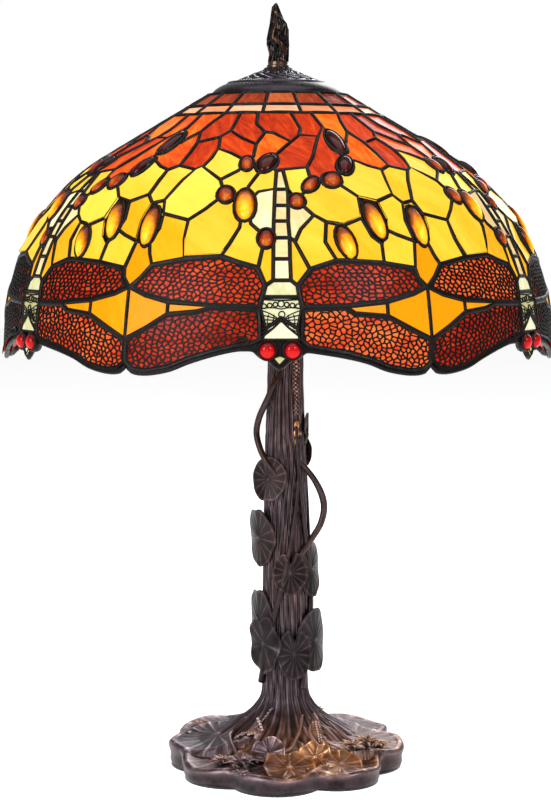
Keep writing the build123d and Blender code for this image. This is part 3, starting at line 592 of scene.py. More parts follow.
wings = []
for node in ("wing_glass_upper", "wing_glass_lower"):
    soup = Soup()
    for loop in loops_of(node):
        centre, flat, _ = flatten(loop)
        wings.append((node, centre, flat))
        tone = rng.random()
        points, flow = [], []
        for high in (1.5, -1.5):
            for share in (1.0, 0.75, 0.5, 0.25, 0.02):
                ring = offset(flat, 1.3) * share
                points.append(dome(*from_flat(ring, centre), high))
                flow.append(np.column_stack([ring[:, ::-1], np.full(len(ring), tone * 90)]) + 100 * tone)
        n, rings = len(flat), len(points) // 2
        faces = grid_faces(rings, n, flip=True) + grid_faces(rings, n, start=rings * n)
        soup.add(points, faces, flow=flow, tone=tone)
        solder_ring(solder[False], loop, WING_LEAD)
    soup.build("pane_" + node, "shade", RED, slot="red_glass", stands_for=[node])

# ---------------------------------------------------------------- filigree over the wings and the body


def clip_to_side(polygon, point, normal):
    """The part of a polygon on the side of a line that normal points away from."""
    out = []
    n = len(polygon)
    for i in range(n):
        a, b = polygon[i], polygon[(i + 1) % n]
        da = (a[0] - point[0]) * normal[0] + (a[1] - point[1]) * normal[1]
        db = (b[0] - point[0]) * normal[0] + (b[1] - point[1]) * normal[1]
        if da <= 0:
            out.append(a)
        if (da < 0 < db) or (db < 0 < da):
            t = da / (da - db)
            out.append((a[0] + (b[0] - a[0]) * t, a[1] + (b[1] - a[1]) * t))
    return out


def mesh_cells(outline, pitch, lean):
    """Irregular cells that fill an outline, in rows along its longer axis."""
    middle = outline.mean(0)
    shifted = outline - middle
    _, axes = np.linalg.eigh(np.cov(shifted.T))
    u, v = axes[:, 1], axes[:, 0]
    au, av = shifted @ u, shifted @ v
    seeds = []
    row = 0
    y = av.min() - pitch
    while y < av.max() + pitch:
        bend = lean * math.sin(y / 9.0)
        x = au.min() - pitch * (1.0 if row % 2 else 0.45)
        while x < au.max() + pitch:
            seeds.append(middle + u * (x + rng.uniform(-0.42, 0.42) * pitch + bend)
                         + v * (y + rng.uniform(-0.2, 0.2) * pitch + 1.4 * math.sin(x / 17.0)))
            x += pitch * (1.2 + 0.5 * abs(y) / (av.max() + 1e-6)) * rng.uniform(0.85, 1.2)
        y += pitch * 0.8
        row += 1
    seeds = np.array(seeds)
    whole = [tuple(p) for p in outline]
    cells = []
    for seed in seeds:
        gap = seeds - seed
        far = np.hypot(gap[:, 0], gap[:, 1])
        cell = whole
        for other in np.argsort(far)[1:13]:
            if far[other] > 3.2 * pitch:
                break
            cell = clip_to_side(cell, seed + gap[other] / 2, gap[other] / far[other])
            if len(cell) < 3:
                break
        if len(cell) >= 3:
            cells.append(np.array(cell))
    return cells


def lace(soup, outline, centre, low, high, pitch, wire):
    """Etched mesh over one outline: each cell is a frame round a rounded hole."""
    for cell in mesh_cells(outline, pitch, 1.5):
        cell = cell[np.linalg.norm(cell - np.roll(cell, 1, 0), axis=1) > 0.05]
        if len(cell) < 3 or area_of(cell) < 0.4:
            continue
        n = len(cell)
        inner = offset(cell, -wire)
        ahead = np.roll(inner, -1, 0)
        hole = np.stack([inner * 0.72 + ahead * 0.28, inner * 0.28 + ahead * 0.72], 1).reshape(-1, 2)
        top = dome(*from_flat(cell, centre), high)
        if area_of(inner) < 0.9 or area_of(inner) > area_of(cell) * 0.95:       # too small for a hole
            soup.add(top, [tuple(range(n))[::-1]])
            continue
        points = [top, dome(*from_flat(hole, centre), high), dome(*from_flat(hole, centre), low)]
        faces = []
        for i in range(n):
            j = (i + 1) % n
            p, q = n + 2 * i, n + 2 * i + 1
            faces.append((i, p, q, j))
            faces.append((i, n + (2 * i - 1) % (2 * n), p))
        for k in range(2 * n):
            m = (k + 1) % (2 * n)
            faces.append((n + k, 3 * n + k, 3 * n + m, n + m))
        soup.add(np.vstack(points), faces)


def around(soup, name, **options):
    """The same shape in each of the six periods."""
    points, faces = np.concatenate(soup.points), soup.faces
    whole = Soup()
    for k in range(PERIODS):
        a = 2 * math.pi * k / PERIODS
        turn = np.array([[math.cos(a), -math.sin(a), 0], [math.sin(a), math.cos(a), 0], [0, 0, 1]])
        whole.add(points @ turn.T, faces)
    whole.build(name, "shade", FILIGREE, slot="filigree", **options)


for level in ("upper", "lower"):
    soup = Soup()
    for node, centre, flat in wings:
        if node.endswith(level) and -math.pi / PERIODS <= centre[0] < math.pi / PERIODS:
            lace(soup, offset(flat, 1.0), centre, low=1.5, high=2.35, pitch=3.35, wire=0.46)
    around(soup, "lace_wing_" + level, stands_for=["wing_filigree_" + level], smooth=False)

ornament = Soup()
best = max((loop for loop in loops_of("body_filigree") if abs(centre_of(loop)[0]) < math.pi / PERIODS),
           key=lambda loop: np.ptp(loop[:, 2]))
azimuth, s, _ = undome(best)
mid_a, half_a = (azimuth.max() + azimuth.min()) / 2, (azimuth.max() - azimuth.min()) / 2
top_s, long_s = s.min(), s.max() - s.min()


def on_body(u, v, height=2.6):
    """Point of the dragonfly's body: u from -1 to 1 across, v from 0 to 1 down."""
    return dome(mid_a + half_a * u, top_s + long_s * v, height)


def wire(points, radius):
    """Round wire through points (u, v) of the body."""
    strand(ornament, [on_body(*p) for p in points], radius, 0.7, 7)


def hoop(u, v, size):
    """Ring of wire, size mm in radius."""
    wide = size / (half_a * float(profile(top_s + long_s * v)[0]))
    turns = np.linspace(0, 2 * math.pi, 9)
    wire([(u + wide * math.cos(t), v + size / long_s * math.sin(t)) for t in turns], 0.5)


for k in range(-3, 4):
    hoop(k * 0.3, 0.13 + 0.02 * abs(k), 1.5 if k else 2.0)
wire([(-1, 0.02), (0, 0.04), (1, 0.02)], 0.6)
wire([(-1, 0.24), (-0.4, 0.23), (0, 0.26), (0.4, 0.23), (1, 0.24)], 0.45)
hoop(0.04, 0.4, 2.0)
for sign in (-1, 1):
    for k in range(6):
        end = 0.3 + 0.115 * k
        wire([(0, 0.56), (sign * 0.5, 0.56 + (end - 0.56) * 0.62), (sign, end)], 0.45)
    for reach in (0.36, 0.66):
        wire([(sign * reach, 0.40), (sign * (reach + 0.06), 0.58), (sign * reach, 0.70 + 0.1 * reach)], 0.4)
    wire([(0, 0.55), (sign * 0.45, 0.76), (sign, 0.97)], 0.75)
bead(ornament, on_body(0, 0.55), 1.5, 10, 6)
around(ornament, "body_ornament", stands_for=["body_filigree"])

# ---------------------------------------------------------------- jewels and their solder collars


def islands_of(node):
    """Vertices of each of a CAD node's solids, in mm."""
    co, weld = welded(node)
    parent = list(range(weld.max() + 1))

    def root(i):
        while parent[i] != i:
            parent[i] = parent[parent[i]]
            i = parent[i]
        return i

    for edge in nodes[node].data.edges:
        i, j = (root(weld[end]) for end in edge.vertices)
        parent[i] = j
    groups = {}
    for i, w in enumerate(weld):
        groups.setdefault(root(w), []).append(i)
    return [co[g] for g in groups.values()]


def stone(soup, collar, points, height):
    """One pressed stone as an oval round the CAD stone's points, and its collar of solder."""
    azimuth, s, _ = undome(points)
    centre = centre_of(points)
    flat = to_flat(azimuth, s, centre)
    spread = flat - flat.mean(0)
    _, axes = np.linalg.eigh(np.cov(spread.T))
    u, v = axes[:, 1], axes[:, 0]
    half_u, half_v = np.abs(spread @ u).max(), np.abs(spread @ v).max()
    t = np.linspace(0, 2 * math.pi, 28, endpoint=False)
    flip = bool(u[0] * v[1] > u[1] * v[0])

    def oval(grow=0.0, share=1.0):
        """Azimuths and arc lengths of the outline, grown by some mm or scaled by a share."""
        ring = np.outer((half_u + grow) * np.cos(t), u) + np.outer((half_v + grow) * np.sin(t), v)
        return from_flat(flat.mean(0) + ring * share, centre)

    rows, depth = [], []
    for share in (1.04, 0.97, 0.86, 0.7, 0.5, 0.28, 0.02):      # the first row is the foot of its side
        inside = min(share, 1.0)
        a, s = oval(share=inside)
        rise = 1.2 + (height - 1.2) * math.sqrt(1 - inside ** 2.2)
        rows.append(dome(a, s, rise if share <= 1 else -1.6))
        # painted light: the glow mark rises towards each stone's middle and its lower side
        fall = (points[:, 2].mean() - dome(a, s, 0.0)[:, 2]) / (np.ptp(points[:, 2]) / 2)
        depth.append(np.clip(0.62 * (1 - share ** 3) + 0.52 * fall, 0, 1))
    soup.add(rows, grid_faces(len(rows), len(t), flip=flip), depth=depth)
    rows = []
    for grow, high in ((1.6, 1.2), (1.35, 2.5), (0.8, CROWN + 0.15), (0.2, CROWN), (-0.35, 2.1), (-0.1, -2.2),
                       (1.0, -3.1), (1.6, -1.2)):
        a, s = oval(grow)
        p = dome(a, s, high)
        rows.append(p + (dome(a, s, 1.0) - dome(a, s, 0.0)) * (0.18 * wobble(p, 3.0))[:, None])
    collar.add(rows, grid_faces(len(rows), len(t), flip=flip))


collars = Soup()
STONES = {"jewels_amber": (AMBER_STONE, "amber_jewel", 5.6), "jewels_dark": (DARK_STONE, "dark_jewel", 5.4),
          "jewels_round": (BROWN_STONE, "dark_jewel", 4.8), "dragonfly_eyes": (RED_STONE, "red_jewel", 6.2)}
for node, (look, slot, height) in STONES.items():
    soup = Soup()
    for points in islands_of(node):
        stone(soup, collars, points, height)
    soup.build("stone_" + node, "shade", look, slot=slot, stands_for=[node])
collars.build("jewel_collars", "shade", SOLDER, slot="solder")

# ---------------------------------------------------------------- leading: thin core, solder lines, rim bead
source = nodes["leading"].data
azimuth, s, height = undome(np.array([v.co for v in source.vertices], float) / MM)
piece("lead_core", dome(azimuth, s, np.clip(height * 0.5, -1.35, 1.35)),
      [tuple(p.vertices) for p in source.polygons], "shade", SOLDER, slot="solder", smooth=False,
      stands_for=["leading"])
for top, soup in solder.items():
    soup.build("solder_upper" if top else "solder_lower", "shade", SOLDER, slot="solder")

# azimuth in degrees and arc length of the scalloped rim over one period
RIM = [(-30, 258), (-28.6, 262.6), (-25.5, 263.4), (-21, 260.6), (-17, 255.2), (-12.5, 250.2), (-8, 246.6),
       (-5, 246.4), (-4.1, 248.2), (-3.2, 251), (-1.8, 252.6), (-1.4, 254), (0.2, 258.5), (1.8, 254),
       (2.4, 252.6), (3.8, 251), (4.7, 248.4), (5.6, 247.4), (8.5, 248.8), (12.8, 251.5), (17, 255.2),
       (21, 260.6), (25.5, 263.4), (28.6, 262.6)]
rim_points = [dome(math.radians(a + 60 * k), s - 1.0, 0.0) for k in range(PERIODS) for a, s in RIM]
rim = Soup()
strand(rim, rim_points + rim_points[:1], 1.5, 2.5, 8)
rim.build("rim_bead", "shade", SOLDER, slot="solder")

# ---------------------------------------------------------------- trunk
TRUNK_Z = (46, 52, 64, 100, 132, 170, 205, 247, 290, 316)
TRUNK_R = (22, 19, 17.8, 18.2, 18, 16.9, 16.6, 15.4, 14.2, 14)
LEAF_THICK = 1.1
FLARE = [(22, 46), (26.5, 40.6), (33, 34.8), (42, 29.6), (52, 23.4), (60, 17.4), (66, 11.5)]


def grooves(a, run):
    """Height from 0 to 1 of the bark's ridges, which wander as they run along the trunk."""
    sway = 0.19 * np.sin(run / 34) + 0.11 * np.sin(run / 15 + 1.3 + a) + 0.05 * np.sin(run / 6.5 + 3 * a)
    one = np.abs(np.sin(7 * (a + sway) + 0.9 * np.sin(run / 47 + a)))
    two = np.abs(np.sin(15 * (a - 0.6 * sway) + 1.3 * np.sin(run / 24 + 2 * a)))
    three = np.abs(np.sin(29 * (a + 0.4 * sway) + 1.1 * np.sin(run / 12)))
    return 0.3 * one + 0.36 * two + 0.34 * three


trunk = Soup()
spine = smooth_path([(r, 0, z) for r, z in list(zip(TRUNK_R, TRUNK_Z))[::-1] + FLARE[1:]], 1.15)
slope = np.gradient(spine, axis=0)
slope /= np.linalg.norm(slope, axis=1)[:, None]
run = np.cumsum(np.linalg.norm(np.gradient(spine, axis=0), axis=1))
a = np.linspace(0, 2 * math.pi, 330, endpoint=False)
aa, rr = np.meshgrid(a, run)
ridges = grooves(aa, rr)
low = np.clip((rr - 268) / 40, 0, 1)                    # 1 down on the flare
cross = np.exp(-((rr - 66) / 16) ** 2) * np.abs(np.sin(4 * aa + rr / 5.2)) * 0.4
lift = np.clip(rr / 6, 0, 1) * ((1.7 + 1.5 * low) * (ridges - 0.95) - 0.5 + cross)
lift = lift + 0.4 * wobble(np.stack([rr, 9 * aa, rr * 0], -1), 21.0)
lift = lift - 4 * np.clip((rr - run[-1] + 14) / 14, 0, 1) * (0.5 + 0.5 * np.sin(9 * aa))
r = spine[:, 0][:, None] - slope[:, 2][:, None] * lift
z = spine[:, 2][:, None] + slope[:, 0][:, None] * lift
warm = 0.25 * np.clip(0.15 + 0.35 * np.sin(aa + 1.1) + 0.2 * np.sin(rr / 23), 0, 1)
warm = warm + 0.22 * low * np.clip(np.cos(aa), 0, 1)
# relief: ridges lighter than grooves as rubbed patina; + 0.24 * low lightens the up-facing flare, a painted
# highlight
trunk.add(turned(r, aa, z, TRUNK_X), grid_faces(len(run), len(a), flip=True),
          relief=0.9 * ridges - 0.1 + 0.2 * cross + 0.24 * low, warm=warm)
ring = turned(r[0], a, z[0], TRUNK_X)
inner = ring * [0.35, 0.35, 1] + [TRUNK_X * 0.65 - 3.5, 0, 0]
trunk.add([inner, ring], grid_faces(2, len(a), flip=True), relief=0.5, warm=0.2)

# ---------------------------------------------------------------- leaves and vines on the trunk


def at_trunk(degrees, z, out=0.0):
    """Point in mm at an azimuth round the trunk, out from its surface."""
    return turned(np.interp(z, TRUNK_Z, TRUNK_R) + out, math.radians(degrees), z, TRUNK_X)


def unit(vector):
    vector = np.array(vector, float)
    return vector / np.linalg.norm(vector)


def lily(soup, centre, out, up, radius, cup, notch, veins, ruffle, seed, warm, tall=1.0, wrap=1e9, bright=0):
    """Lily leaf: a notched, veined, cupped blade with a rolled rim. It faces out and its notch points up."""
    out = unit(out)
    side = unit(np.cross(up, out))
    up = np.cross(out, side)
    n, m = 120, 17
    aa, kk = np.meshgrid(np.linspace(0, 2 * math.pi, n, endpoint=False), np.linspace(0, 1, m) ** 0.9)
    away = np.abs((aa - math.pi / 2 + math.pi) % (2 * math.pi) - math.pi)
    reach = radius * (1 + 0.02 * np.sin(5 * aa + seed) + 0.012 * np.sin(9 * aa + 2 * seed))
    reach = reach * (1 - notch * np.exp(-(away / 0.24) ** 2) * kk)
    vein = np.abs(np.cos(veins / 2 * (aa - math.pi / 2)))
    ridge = np.exp(-((1 - vein) / 0.02)) * np.clip(kk * 4, 0, 1) * np.clip((1.06 - kk) * 3, 0, 1)
    lip = np.exp(-((kk - 0.968) / 0.026) ** 2)
    knob = np.exp(-(kk / 0.09) ** 2)
    x, y = reach * kk * np.cos(aa), reach * kk * np.sin(aa) * tall
    h = radius * (cup * kk ** 2.2 + ruffle * kk ** 3 * np.sin(6 * aa + seed * 3)) + 0.4 * ridge + 0.7 * lip
    h = h + 0.9 * knob + 0.3 * notch * radius * kk * np.exp(-(away / 0.3) ** 2) - x * x / (2 * wrap)

    def lay(height):
        return np.array(centre) + x[..., None] * side + y[..., None] * up + height[..., None] * out
    relief = 0.22 + bright + 0.36 * ridge + 0.6 * lip + 0.4 * knob - 0.06 * np.sin(veins * aa) * kk
    heat = np.clip(warm + 0.25 * lip * (0.4 + warm) + 0.1 * kk, 0, 1)
    soup.add(lay(h), grid_faces(m, n, flip=True), relief=relief, warm=heat)
    soup.add(lay(h - LEAF_THICK * (1.05 - 0.3 * kk)), grid_faces(m, n), relief=0.42 + 0.3 * ridge, warm=0.2)
    edge = [lay(h)[-1], lay(h - LEAF_THICK * 0.75)[-1]]
    soup.add(edge, grid_faces(2, n, flip=True), relief=0.6, warm=0.3 * warm + 0.1)


growth = Soup()
# azimuth, aside, height, half width, reach; height over width, tilt up, depth of the notch, cup, ruffle
LEAVES = [(-26, -5, 217, 14, 17.5, 1.2, 6, 0.06, 0.05, 0.01),
          (-58, -6, 172, 17, 18.5, 1.3, -4, 0.06, 0.08, 0.015),
          (8, 1, 147, 13, 18.5, 1.25, 4, 0.55, 0.06, 0.015),
          (60, 5, 148, 16, 18.5, 1.3, 4, 0.06, 0.08, 0.015),
          (8, 4, 86, 13, 20, 1.5, 4, 0.48, 0.06, 0.05), (56, 8, 94, 17, 20, 1.45, 2, 0.06, 0.08, 0.015),
          (-38, -3, 93, 14, 21.5, 1.6, -4, 0.2, 0.1, 0.1), (80, 0, 256, 7, 15.5, 1.4, 0, 0.05, 0.05, 0.01),
          (175, 3, 190, 13, 18, 1.3, 5, 0.3, 0.1, 0.02), (165, -3, 120, 14, 19, 1.4, -4, 0.3, 0.1, 0.02),
          (150, -2, 235, 11, 17.5, 1.2, 6, 0.3, 0.1, 0.02),
          (-60, -6, 106, 17, 18.5, 1.6, 0, 0.06, 0.08, 0.02)]
for number, (azimuth, aside, z, radius, reach, tall, tilt, notch, cup, ruffle) in enumerate(LEAVES):
    a, t = math.radians(azimuth), math.radians(tilt)
    out = np.array([math.sin(a), -math.cos(a), 0.0])
    side = np.array([math.cos(a), math.sin(a), 0.0])
    centre = np.array([TRUNK_X, 0, z]) + side * aside + out * (reach + 1.2)
    face = out * math.cos(t) + np.array([0, 0, math.sin(t)])
    lily(growth, centre, face, (0, 0, 1), radius, cup, notch, 15 if ruffle < 0.1 else 7, ruffle, number * 1.3,
         0.08 + 0.06 * math.sin(number), tall=tall, wrap=30)
    root = at_trunk(azimuth, z - 14, -1.5)
    strand(growth, [root, (root + centre) / 2 - np.array([0, 0, 3]), centre - face * 1.2],
           [(0, 1.6), (1, 1.0)], relief=0.5, warm=0.2)

LEFT_VINE = [(4, -10, 299), (-3, -14, 288), (-8, -13, 276), (-14, -8, 262), (-16, -6, 250), (-13, -9, 238),
             (-8, -13, 229), (-2, -15, 221), (0, -13, 212)]
RIGHT_VINE = [(14, -12, 232), (21, -10, 224), (28, -7, 214), (33, -5, 203), (34.5, -4, 193), (32, -5, 182),
              (26, -7, 172), (20, -11, 164), (15, -13, 156)]
strand(growth, LEFT_VINE, [(0, 1.6), (0.3, 2.4), (0.8, 2.4), (1, 1.8)], 1.2, 12, relief=0.46, warm=0.16)
strand(growth, RIGHT_VINE, [(0, 1.8), (0.4, 2.7), (1, 2.2)], 1.2, 12, relief=0.46, warm=0.16)
for start, bottom, span, size in ((-70, 62, 110, 2.0), (150, 60, -120, 2.2), (40, 58, 80, 1.6)):
    climb = [at_trunk(start + span * math.sin(k / 4.5), bottom + 28 * k, 1.2) for k in range(8)]
    strand(growth, climb, [(0, size * 1.3), (1, size * 0.5)], 1.6, 10, relief=0.42, warm=0.1)
for k in range(13):                     # chain of beads that hangs down the front right
    z = 304 - 3.1 * k
    azimuth = 33 + 2.2 * math.sin(k)
    bead(growth, at_trunk(azimuth, z), 1.25 - 0.03 * k, relief=0.95, warm=0.4)
    for sign in (-1, 1):
        bead(growth, at_trunk(azimuth + sign * (8 - 0.35 * k), z - 1.4, 0.3), 0.8, 8, 5, relief=0.8, warm=0.5)
for z, wide in ((257, 2.6), (251, 3.4), (245, 2.2)):
    bead(growth, at_trunk(34, z, 0.2), (wide, 1.2, 3.4), relief=0.95, warm=0.9)
growth.build("trunk_growth", "root", BRONZE, slot="bronze")
trunk.build("trunk_sculpture", "root", BRONZE, slot="bronze", stands_for=["trunk_casting"])

# ---------------------------------------------------------------- foot
# lily pads of the foot: x, y, radius, lift and warmth
PADS = [(-46, -8, 36, 1.6, 0.08), (-34, -46, 36, 0.0, 0.22), (-1, -68, 34, 2.0, 0.9), (42, -54, 33, 0.6, 0.7),
        (58, -12, 36, 1.8, 0.3), (46, 34, 38, 0.4, 0.15), (4, 58, 36, 1.4, 0.15), (-38, 38, 38, 0.7, 0.1)]
HILL_R = (0, 22, 26.5, 33, 42, 52, 66, 84, 102)
HILL_Z = (46, 46, 40, 34, 29.2, 23, 16, 11.5, 8.5)


def rim_of(angle):
    """Distance from the trunk's axis to the foot's edge in a direction."""
    dx, dy = np.cos(angle), np.sin(angle)
    reach = np.full_like(angle, 66.0)
    for x, y, r, _, _ in PADS:
        x -= TRUNK_X
        along = x * dx + y * dy
        square = r * r - (x * x + y * y - along ** 2)
        reach = np.maximum(reach, np.where(square > 0, along + np.sqrt(np.maximum(square, 0)), 0))
    return reach


def foot_top(x, y):
    """Height, relief and warmth of the foot's upper surface."""
    far = np.hypot(x - TRUNK_X, y)
    a = np.arctan2(x - TRUNK_X, -y)
    hill = np.interp(far, HILL_R, HILL_Z)
    height = hill - 3.5
    relief = np.full_like(hill, 0.25)
    warm = 0.12 + 0.1 * np.sin(3 * a)
    for number, (px, py, r, level, copper) in enumerate(PADS):
        dx, dy = x - px, y - py
        b = np.arctan2(dy, dx)
        edge = r * (1 + 0.03 * np.sin(5 * b + number) + 0.02 * np.sin(11 * b + 2 * number))
        k = np.hypot(dx, dy) / edge
        spokes = 7 + number % 3
        long = np.exp(-(1 - np.abs(np.cos(spokes * b + number))) / 0.06)
        short = np.exp(-(1 - np.abs(np.cos(2 * spokes * b + number))) / 0.05)
        vein = long * np.clip(k * 5, 0, 1) + 0.6 * short * np.clip((k - 0.5) * 4, 0, 1)
        lip = np.exp(-((k - 0.93) / 0.05) ** 2)
        dish = 1.9 * k ** 2 + 1.5 * np.sin(4 * b + 1.7 * number) * k ** 3
        base = np.interp(np.hypot(px - TRUNK_X, py), HILL_R, HILL_Z)
        pad = 0.5 * hill + 0.5 * base - 2.6 + level + dish + 0.45 * vein + 0.7 * lip
        pad = pad + 1.2 * np.exp(-(k / 0.07) ** 2)
        pad = np.where(k < 1.08, pad, -50)
        wins = pad > height
        height = np.where(wins, pad, height)
        relief = np.where(wins, 0.36 + 0.28 * vein + 0.3 * lip + 0.4 * np.exp(-(k / 0.1) ** 2), relief)
        warm = np.where(wins, copper * (1 - 0.35 * k) + 0.2 * lip, warm)
    return height, relief, warm


def soften(values, span):
    """Running mean of values round a closed ring."""
    half = span // 2
    return np.convolve(np.concatenate([values[-half:], values, values[:half]]), np.ones(span) / span, "valid")


foot = Soup()
n, m = 540, 92
angle = np.linspace(0, 2 * math.pi, n, endpoint=False)
outer_r = soften(rim_of(angle), 11) + 0.4 * np.sin(13 * angle + 1.5 * np.sin(5 * angle))
rr = 13 + (outer_r - 13) * np.linspace(0, 1, m)[:, None]
x, y = TRUNK_X + rr * np.cos(angle), rr * np.sin(angle)
z, relief, warm = foot_top(x, y)
z = np.maximum(z, 6.0)
for row in range(m - 12, m):
    share = min(1.0, (row - m + 13) / 6)
    z[row] += share * (soften(z[row], 15) - z[row])
z[-1] -= 0.7
foot.add(np.stack([x, y, z], -1), grid_faces(m, n, flip=True), relief=relief, warm=warm)


def around_foot(r, level, x=TRUNK_X):
    return np.stack(np.broadcast_arrays(x + r * np.cos(angle), r * np.sin(angle), level), -1)


rows = [np.stack([x[-1], y[-1], z[-1]], -1)]
WALL = ((-0.8, 0.07), (-1.0, 0.16), (-0.6, 0.27), (0.3, 0.42), (0.7, 0.6), (0.4, 0.82), (1.4, 1.0))
for inset, drop in WALL:                # down the side, from the rim to the felt
    rows.append(around_foot(outer_r - inset, z[-1] + (FELT - z[-1]) * drop))
for inset, level in ((7.0, FELT), (7.4, 4.5)):
    rows.append(around_foot(outer_r - inset, level))
for share in (0.45, 0.8, 1.0):          # the hollow underside, towards the rod's boss
    r = (outer_r - 7.4) * (1 - share) + 14 * share
    under = np.interp(r, (14, 38, 48, 62, 80, 96), (30, 25, 19, 12, 7.5, 4.5))
    rows.append(around_foot(r, under, TRUNK_X * (1 - share)))
rows += [around_foot(14, 8, 0), around_foot(5.3, 8, 0)]
side_relief = np.repeat((0.6, 0.62, 0.5, 0.34, 0.24, 0.22, 0.26, 0.2) + (0.1,) * 7, n)
foot.add(rows, grid_faces(len(rows), n, flip=True), relief=side_relief, warm=0.12)


def on_foot(x, y, up=0.0):
    """Point in mm over a place on the foot's upper surface."""
    h = foot_top(np.array([float(x)]), np.array([float(y)]))[0][0]
    return np.array([x, y, h + up])


def flower(x, y, size, lift, seed):
    """Spiky water flower: rows of narrow curled petals round a button."""
    petals = random.Random(seed)
    centre = on_foot(x, y, lift)
    for level, (count, lean, long) in enumerate(((9, 1.25, 1.0), (8, 0.85, 0.85), (6, 0.45, 0.62))):
        for k in range(count):
            a = 2 * math.pi * (k + 0.5 * level) / count + petals.uniform(-0.15, 0.15)
            reach = size * long * petals.uniform(0.85, 1.15)
            out = np.array([math.cos(a), math.sin(a), 0])
            tip = centre + out * reach * math.sin(lean) + np.array([0, 0, reach * math.cos(lean) * 0.8])
            bend = (centre + tip) / 2 + np.array([0, 0, reach * 0.16])
            strand(foot, [centre + out, bend, tip], [(0, 1.0), (0.45, 1.9), (1, 0.25)], 1.2, 8, 0.45,
                   relief=0.55 + 0.3 * petals.random(), warm=0.5)
    bead(foot, centre + np.array([0, 0, 2.0]), (2.2, 2.2, 1.8), relief=0.8, warm=0.8)


FLOWERS = [(-27, -72, 15, 0.5), (-40, -62, 11, 0.5), (-27, -88, 9, -2.0), (-17, -66, 11, 0.5),
           (66, -38, 15, 0.5), (54, -44, 11, 0.5), (76, -28, 10, 0.0), (-60, 42, 9, 0.5), (30, 78, 9, 0.5)]
for seed, (x, y, size, lift) in enumerate(FLOWERS, 1):
    flower(x, y, size, lift, seed)

# stems along the foot: places with a height over it, then runs of their radius, relief and warmth
STEMS = [([(18, -22, 1), (16, -34, 1), (12, -46, 2), (9, -54, 3), (4, -60, 4), (1, -66, 3.5), (5, -72, 2),
           (9, -68, 2), (7, -80, 1)], [(0, 1.2), (0.5, 1.8), (1, 1.4)], 0.75, 0.5),
         ([(24, -26, 1), (24, -36, 1), (30, -46, 2), (38, -52, 3), (44, -54, 3), (42, -61, 1.5),
           (44, -60, 1)], [(0, 1.2), (0.6, 1.8), (1, 1.2)], 0.75, 0.5),
         ([(38, -12, 1), (46, -22, 1.4), (54, -30, 1.2), (60, -38, 1)], [(0, 1.6), (1, 1.4)], 0.6, 0.25),
         ([(-24, -10, 1), (-34, -22, 1.5), (-36, -36, 1.2), (-30, -60, 1)], [(0, 2.4), (0.5, 2.0), (1, 1.2)],
          0.5, 0.2)]
for places, radii, relief, warm in STEMS:
    strand(foot, [on_foot(x, y, 0.8 + up) for x, y, up in places], radii, 1.2, relief=relief, warm=warm)
for k in range(16):                     # ribbed band that runs down the front left of the flare
    f = k / 15
    spot = on_foot(-4 - 26 * f, -20 - 14 * f, 1.0)
    rib = spot + np.array([(-2.2, -2.6, 0.4), (0, 0, 1.3), (2.2, 2.6, 0.4)])
    strand(foot, rib, [(0, 0.6), (0.5, 1.0), (1, 0.6)], 1.0, 8, relief=0.8, warm=0.3)
# loose leaves: place and height, facing, up, radius, cup, notch, veins, ruffle, seed, warmth, brightness
FOOT_LEAVES = [
    ((-7, -62, 4.5), (-0.2, -0.75, 0.62), (-0.4, 0.5, 0.76), 13, 0.12, 0.35, 7, 0.06, 1, 0.15, 0.2),
    ((8, -80, 1.9), (0.05, -0.3, 0.95), (0, 1, 0.3), 19, 0.08, 0.3, 9, 0.07, 2, 0.75, 0.28),
    ((27, -62, 3.5), (-0.2, -0.62, 0.75), (0.3, 0.6, 0.5), 12, 0.24, 0.4, 7, 0.08, 3, 0.7, 0.3),
    ((46, -66, 1.9), (0.2, -0.35, 0.9), (-0.2, 0.9, 0.3), 16, 0.1, 0.3, 9, 0.07, 4, 0.7, 0.3)]
for place, *shape, bright in FOOT_LEAVES:
    lily(foot, on_foot(*place), *shape, bright=bright)

insect = on_foot(-12, -30, 2.0)         # small winged creature in relief
down = unit([0.25, -0.55, -0.5])
across = np.array([0.9, 0.35, 0.1])
across = unit(across - down * (across @ down))
for k in range(7):
    bead(foot, insect + down * (2.6 * k - 9) + np.array([0, -0.6, 0.5]), 1.7 - 0.12 * abs(k - 2), relief=0.9,
         warm=0.7)
for sign in (-1, 1):
    for spread, long in ((0.2, 13), (0.75, 11)):
        tip = insect + (across * sign * math.cos(spread) + down * math.sin(spread)) * long
        strand(foot, [insect, (insect + tip) / 2 + np.array([0, -1.0, 1.0]), tip],
               [(0, 0.8), (0.6, 3.4), (1, 0.8)], 1.0, 10, 0.28, up=(0, -0.7, 0.7), relief=0.7, warm=0.45)
        for j in range(5):
            f = 0.25 + 0.15 * j
            base = insect + (tip - insect) * f + np.array([0, -1.0, 1.0])
            strand(foot, [base - down * 2.2, base + down * 2.2], 0.35, 1.0, 6, relief=1.0, warm=0.6)
cattail = on_foot(29, -30, 1.5)
lean = unit([0.12, -0.62, -0.55])
strand(foot, [cattail - lean * 16, cattail - lean * 8, cattail + lean * 8, cattail + lean * 15],
       [(0, 0.8), (0.25, 3.6), (0.6, 4.4), (1, 1.6)], 1.0, 14, 0.7, relief=0.6, warm=0.45)
for k in range(9):
    for j in (-1, 0, 1):
        spot = cattail + lean * (2.2 * k - 6) + np.array([1.9 * j, -1.8 + 0.8 * abs(j), 2.2 - 0.9 * abs(j)])
        bead(foot, spot, 0.95, 8, 5, relief=1.0, warm=0.35)
foot.build("foot_sculpture", "root", FOOT_LIT_BRONZE, slot="bronze", stands_for=["foot_casting"])

